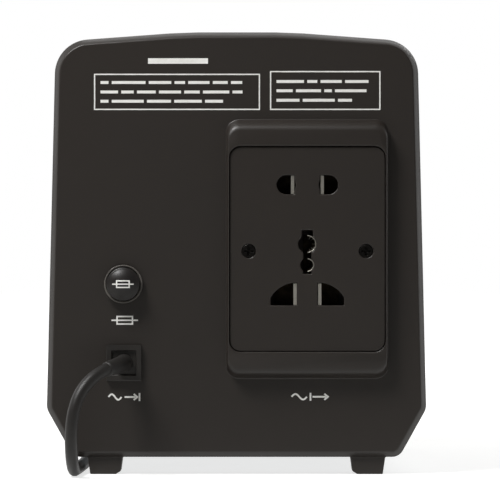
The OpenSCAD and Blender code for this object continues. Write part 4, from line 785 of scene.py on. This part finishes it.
def ruled_frame(form, place, low_u, low_v, high_u, high_v):
    inset = STROKE / 2
    corners = [(low_u + inset, low_v + inset), (high_u - inset, low_v + inset),
               (high_u - inset, high_v - inset), (low_u + inset, high_v - inset)]
    ribbon(form, corners, STROKE, place, closed=True)


def bars(form, place, start, row_v, lengths, height, gap):
    """A row of plain bars of these lengths, from start on, with a gap after each."""
    for length in lengths:
        ribbon(form, [(start, row_v), (start + length, row_v)], height, place)
        start += length + gap


BAR_H = 1.15
BAR_GAP = 1.3
HEADING_FROM = -35.4
HEADING_V = 165.4
HEADING_L = 24
HEADING_H = 2.2
LEFT_FRAME = (-57, 145.8, 9.4, 160.3)
RIGHT_FRAME = (13.4, 145.8, 57.6, 161.4)
LEFT_ROWS = ((156.8, (3.2, 13.5, 9, 4.2, 8.5, 6, 4.5)), (153, (7, 5, 7.5, 8.8, 6.2, 10.5, 4)),
             (149.3, (3.2, 12.8, 9.6, 11, 7.2)))
RIGHT_ROWS = ((157.2, (11, 4, 8.5, 9.4)), (153.5, (6.5, 10, 3, 12.6)), (149.7, (9.2, 12.8, 5.6)))
ROW_INSET = 2.6


def draw_notices(form, place):
    for box, rows in ((LEFT_FRAME, LEFT_ROWS), (RIGHT_FRAME, RIGHT_ROWS)):
        ruled_frame(form, place, *box)
        for row_v, lengths in rows:
            bars(form, place, box[0] + ROW_INSET, row_v, lengths, BAR_H, BAR_GAP)
    bars(form, place, HEADING_FROM, HEADING_V, [HEADING_L], HEADING_H, gap=0)


def arc_points(centre, radius, start, stop, count):
    return [(centre[0] + radius * cos(radians(start + (stop - start) * i / count)),
             centre[1] + radius * sin(radians(start + (stop - start) * i / count)))
            for i in range(count + 1)]


def ring_points(centre, radius, count):
    """A whole circle of count points, for a closed ribbon."""
    return arc_points(centre, radius, 0, 360 - 360 / count, count - 1)


def fuse_mark(form, place, u, v, length, width):
    """A fuse's drawing symbol: a box with the wire through it, in short steps that can follow a dome."""
    half_l, half_w, stroke, steps = length * 0.29, width / 2, width * 0.2, 6
    corners = [Vector(c) for c in ((u - half_l, v - half_w), (u + half_l, v - half_w),
                                   (u + half_l, v + half_w), (u - half_l, v + half_w))]
    sides = zip(corners, corners[1:] + corners[:1])
    box = [a.lerp(b, i / steps) for a, b in sides for i in range(steps)]
    ribbon(form, box, stroke, place, closed=True)
    inner, outer = half_l - stroke / 2, length / 2
    for low, high in ((-outer, -half_l - stroke / 2), (-inner, inner), (half_l + stroke / 2, outer)):
        wire = [(u + low + (high - low) * i / steps, v) for i in range(steps + 1)]
        ribbon(form, wire, stroke, place)


def mains_mark(form, place, u, v, length, inwards):
    """A wave for alternating current, and an arrow to a bar, or away from it."""
    stroke, half_bar, head_l, half_head = 0.7, 1.6, 1.4, 1.2
    before_bar, after_bar, shaft_short = 0.9, 0.8, 0.8
    wave_l, wave_h, steps = length * 0.42, 1.1, 20
    wave = [(u - length / 2 + wave_l * i / steps, v + wave_h * sin(2 * pi * i / steps))
            for i in range(steps + 1)]
    ribbon(form, wave, stroke, place)
    left, right = u + length * 0.02, u + length / 2
    bar, tail, head = (right, left, right - before_bar) if inwards else (left, left + after_bar, right)
    ribbon(form, [(bar, v - half_bar), (bar, v + half_bar)], stroke, place)
    arrow = [(head - head_l, v + half_head), (head, v), (head - head_l, v - half_head)]
    ribbon(form, arrow, stroke, place)
    ribbon(form, [(tail, v), (head - shaft_short, v)], stroke, place)


def draw_rear_marks(form, place):
    fuse_mark(form, place, u=fuse_at.x / MM + 0.5, v=61.7, length=10.6, width=3.0)
    mains_mark(form, place, u=bushing_at.x / MM, v=31.0, length=12.4, inwards=True)
    mains_mark(form, place, u=plate_at.x / MM + 1, v=31.1, length=14.5, inwards=False)


printed("rear_notices", draw_notices, on_rear)
printed("rear_marks", draw_rear_marks, on_rear)


def on_cap(u, v, out):
    """u and v start at the cap's middle, and the print follows its dome."""
    across = sqrt(u * u + v * v) * MM
    return Vector((fuse_at.x + u * MM, cap_low.y + dome_sink(across) - out, fuse_at.z + v * MM))


def draw_cap_mark(form, place):
    fuse_mark(form, place, u=0, v=0, length=8.6, width=2.6)


printed("cap_mark", draw_cap_mark, on_cap, "fuse_cap")


# Front: digits behind the lens, the rocker's marks and the panel's marks

window_at = middle("display_window")
digits_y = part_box("digit_modules")[1].y
DIGIT_PITCH = 12.2
DIGIT_HALF = (3.6, 6.6)
DIGIT_LEAN = 0.08
SEGMENT_W = 1.3
SEGMENT_GAP = 0.45
MODULE_X = 21.5


def on_digits(u, v, out):
    """u runs to the right as one looks at the fascia, and v starts at the window's middle."""
    return Vector((-u * MM, digits_y + out, window_at.z + v * MM))


def draw_digits(form, place):
    """Two modules of three digits, each with its seven segments, unlit."""
    half_w, half_h = DIGIT_HALF
    strokes = [((-half_w + SEGMENT_GAP, level * half_h), (half_w - SEGMENT_GAP, level * half_h))
               for level in (-1, 0, 1)]
    strokes += [((side * half_w, low + SEGMENT_GAP), (side * half_w, low + half_h - SEGMENT_GAP))
                for side in (-1, 1) for low in (-half_h, 0)]
    for module in (-1, 1):
        for k in (-1, 0, 1):
            u = module * MODULE_X + k * DIGIT_PITCH
            for stroke in strokes:
                ribbon(form, [(u + p[0] + DIGIT_LEAN * p[1], p[1]) for p in stroke], SEGMENT_W, place)


printed("digit_segments", draw_digits, on_digits, "case", segment_grey)

switch_at = middle("switch_housing")
button_at = middle("delay_button")
ROCKER_TILT = radians(10)
ROCKER_PIVOT = 7.0
ROCKER_CROWN = 6.5


def on_rocker(upper):
    """The rocker's half faces lie at ten degrees to its middle, and the whole is tilted by ten."""
    def place(u, v, out):
        way = 1 if upper else -1
        depth = ROCKER_CROWN + abs(v) * tan(ROCKER_TILT)
        normal = Vector((0, -cos(ROCKER_TILT), way * -sin(ROCKER_TILT)))
        at = Vector((0, -depth, v)) * MM + normal * out
        turned = Matrix.Rotation(ROCKER_TILT, 3, "X") @ at
        return Vector((switch_at.x - u * MM, front_y - (ROCKER_PIVOT * MM + turned.y),
                       switch_at.z + turned.z))
    return place


MARK_UP = 6.2
MARK_R = 2
LINE_STROKE = 0.9
RING_STROKE = 0.8


def draw_on_mark(form, place):
    ribbon(form, [(0, MARK_UP - MARK_R), (0, MARK_UP + MARK_R)], LINE_STROKE, place)


def draw_off_mark(form, place):
    ribbon(form, ring_points((0, -MARK_UP), MARK_R, count=24), RING_STROKE, place, closed=True)


printed("rocker_mark_on", draw_on_mark, on_rocker(True), "switch_rocker")
printed("rocker_mark_off", draw_off_mark, on_rocker(False), "switch_rocker")

# Heights over the window's middle or the switch's, and the sizes of the two round marks
CURRENT_UP = 24.5
CURRENT_L = 13
CLOCK_UP = 14.5
CLOCK_R = 2.3
MINUTE_HAND = 1.6
HOUR_HAND = 1.2
HAND_STROKE = 0.45
POWER_UP = 20.5
POWER_R = 2.2
POWER_LINE = (0.4, 2.8)


def draw_front_marks(form, place):
    """Current in and out over the window, a clock over the delay button, and the power mark."""
    for side in (-1, 1):
        mains_mark(form, place, u=side * MODULE_X, v=window_at.z / MM + CURRENT_UP, length=CURRENT_L,
                   inwards=side < 0)
    level = switch_at.z / MM
    u, v = -button_at.x / MM, level + CLOCK_UP
    ribbon(form, ring_points((u, v), CLOCK_R, count=30), STROKE, place, closed=True)
    ribbon(form, [(u, v + MINUTE_HAND), (u, v), (u + HOUR_HAND, v)], HAND_STROKE, place)
    u, v = -switch_at.x / MM, level + POWER_UP
    ribbon(form, arc_points((u, v), POWER_R, start=120, stop=420, count=25), STROKE, place)
    ribbon(form, [(u, v + POWER_LINE[0]), (u, v + POWER_LINE[1])], STROKE, place)


printed("front_marks", draw_front_marks, on_front)


# Stage and light

FLOOR_HALF = 6.0
floor_form = bmesh.new()
bmesh.ops.create_grid(floor_form, x_segments=1, y_segments=1, size=FLOOR_HALF)
floor_mesh = bpy.data.meshes.new("floor")
floor_form.to_mesh(floor_mesh)
floor_form.free()
floor = bpy.data.objects.new("floor", floor_mesh)
scene.collection.objects.link(floor)

# Matt pale card. What the camera sees of it is lifted to white, fully so away from the object, and
# the object's shadow stays. Gloss shows it lighter beneath the object and behind it.
NEAR_M = 0.35
FAR_M = 1.3
LIFT_NEAR = 0.72
LIFT_FAR = 1.0
GLOSS_FROM_Y = (-0.18, -0.11)
GLOSS_LIFT = 0.5
card = bpy.data.materials.new("matt_white_card")
card.use_nodes = True
tree = card.node_tree
tree.nodes.clear()
path = add(tree, "LightPath")
diffuse = add(tree, "BsdfDiffuse", inputs={"Color": linear("b8b8b6")})
away = add(tree, "VectorMath", {"operation": "LENGTH"}, {
    0: add(tree, "TexCoord").outputs["Object"]}).outputs["Value"]
to_camera = add(tree, "Math", {"operation": "MULTIPLY"}, {
    0: path.outputs["Is Camera Ray"], 1: span(tree, away, LIFT_NEAR, LIFT_FAR, NEAR_M, FAR_M)}).outputs[0]
beneath = add(tree, "SeparateXYZ", inputs={"Vector": add(tree, "TexCoord").outputs["Object"]})
in_gloss = add(tree, "Math", {"operation": "MULTIPLY"}, {
    0: path.outputs["Is Glossy Ray"],
    1: span(tree, beneath.outputs["Y"], 0.0, GLOSS_LIFT, *GLOSS_FROM_Y)}).outputs[0]
lift = add(tree, "Math", {"operation": "ADD"}, {0: to_camera, 1: in_gloss}).outputs[0]
lifted = add(tree, "Emission", inputs={"Color": linear("ffffff"), "Strength": lift})
both = add(tree, "AddShader", inputs={0: diffuse.outputs[0], 1: lifted.outputs[0]})
add(tree, "OutputMaterial", inputs={"Surface": both.outputs[0]})
floor_mesh.materials.append(card)

# The room: white where it is seen or shows through glass. In gloss it is near white behind the object
# and dark on the camera's side, where a studio is open, so that a dark plastic keeps its colour. It
# turns from one to the other over these Y of the ray, and fades overhead over these Z.
ROOM_OPEN = 0.02
ROOM_BEHIND = 0.9
ROOM_TURNS_Y = (-0.7, 0.6)
OVERHEAD_SHARE = 0.4
OVERHEAD_Z = (0.3, 0.95)
ROOM_ON_MATT = 0.2
world = bpy.data.worlds.new("white_room")
scene.world = world
world.use_nodes = True
tree = world.node_tree
tree.nodes.clear()
path = add(tree, "LightPath")
way = add(tree, "SeparateXYZ", inputs={"Vector": add(tree, "TexCoord").outputs["Generated"]})
seen = add(tree, "Math", {"operation": "MAXIMUM"}, {
    0: path.outputs["Is Camera Ray"], 1: path.outputs["Is Transmission Ray"]}).outputs[0]
from_rear = span(tree, way.outputs["Y"], ROOM_OPEN, ROOM_BEHIND, *ROOM_TURNS_Y, curve="SMOOTHSTEP")
overhead = span(tree, way.outputs["Z"], 1.0, OVERHEAD_SHARE, *OVERHEAD_Z, curve="SMOOTHSTEP")
glossy = add(tree, "Math", {"operation": "MULTIPLY"}, {0: from_rear, 1: overhead}).outputs[0]
in_gloss = add(tree, "Mix", {"data_type": "FLOAT"}, {
    0: path.outputs["Is Glossy Ray"], 2: ROOM_ON_MATT, 3: glossy}).outputs[0]
strength = add(tree, "Mix", {"data_type": "FLOAT"}, {0: seen, 2: in_gloss, 3: 1.0}).outputs[0]
room = add(tree, "Background", inputs={"Color": linear("ffffff"), "Strength": strength})
add(tree, "OutputWorld", inputs={"Surface": room.outputs[0]})


LAMPS_AIM = Vector((0, 0, 0.09))


def softbox(name, at, width, height, power):
    """A rectangular lamp of so many watts, aimed at the middle of the object."""
    light = bpy.data.lights.new(name, "AREA")
    light.shape = "RECTANGLE"
    light.size, light.size_y = width, height
    light.energy = power
    lamp = bpy.data.objects.new(name, light)
    lamp.location = at
    lamp.rotation_euler = (LAMPS_AIM - Vector(at)).to_track_quat("-Z", "Y").to_euler()
    scene.collection.objects.link(lamp)


softbox("key_upper_left", at=(-0.42, -0.5, 0.86), width=0.34, height=0.34, power=9.1)
softbox("top", at=(0.2, 1.0, 1.6), width=1.2, height=0.8, power=6.5)
softbox("left_edge", at=(-1.5, 0.5, 0.6), width=0.5, height=1.1, power=1.4)
softbox("right_edge", at=(1.55, 0.35, 0.5), width=0.5, height=1.1, power=2.2)
softbox("front_side", at=(0.9, 1.6, 1.2), width=1.0, height=0.8, power=16)
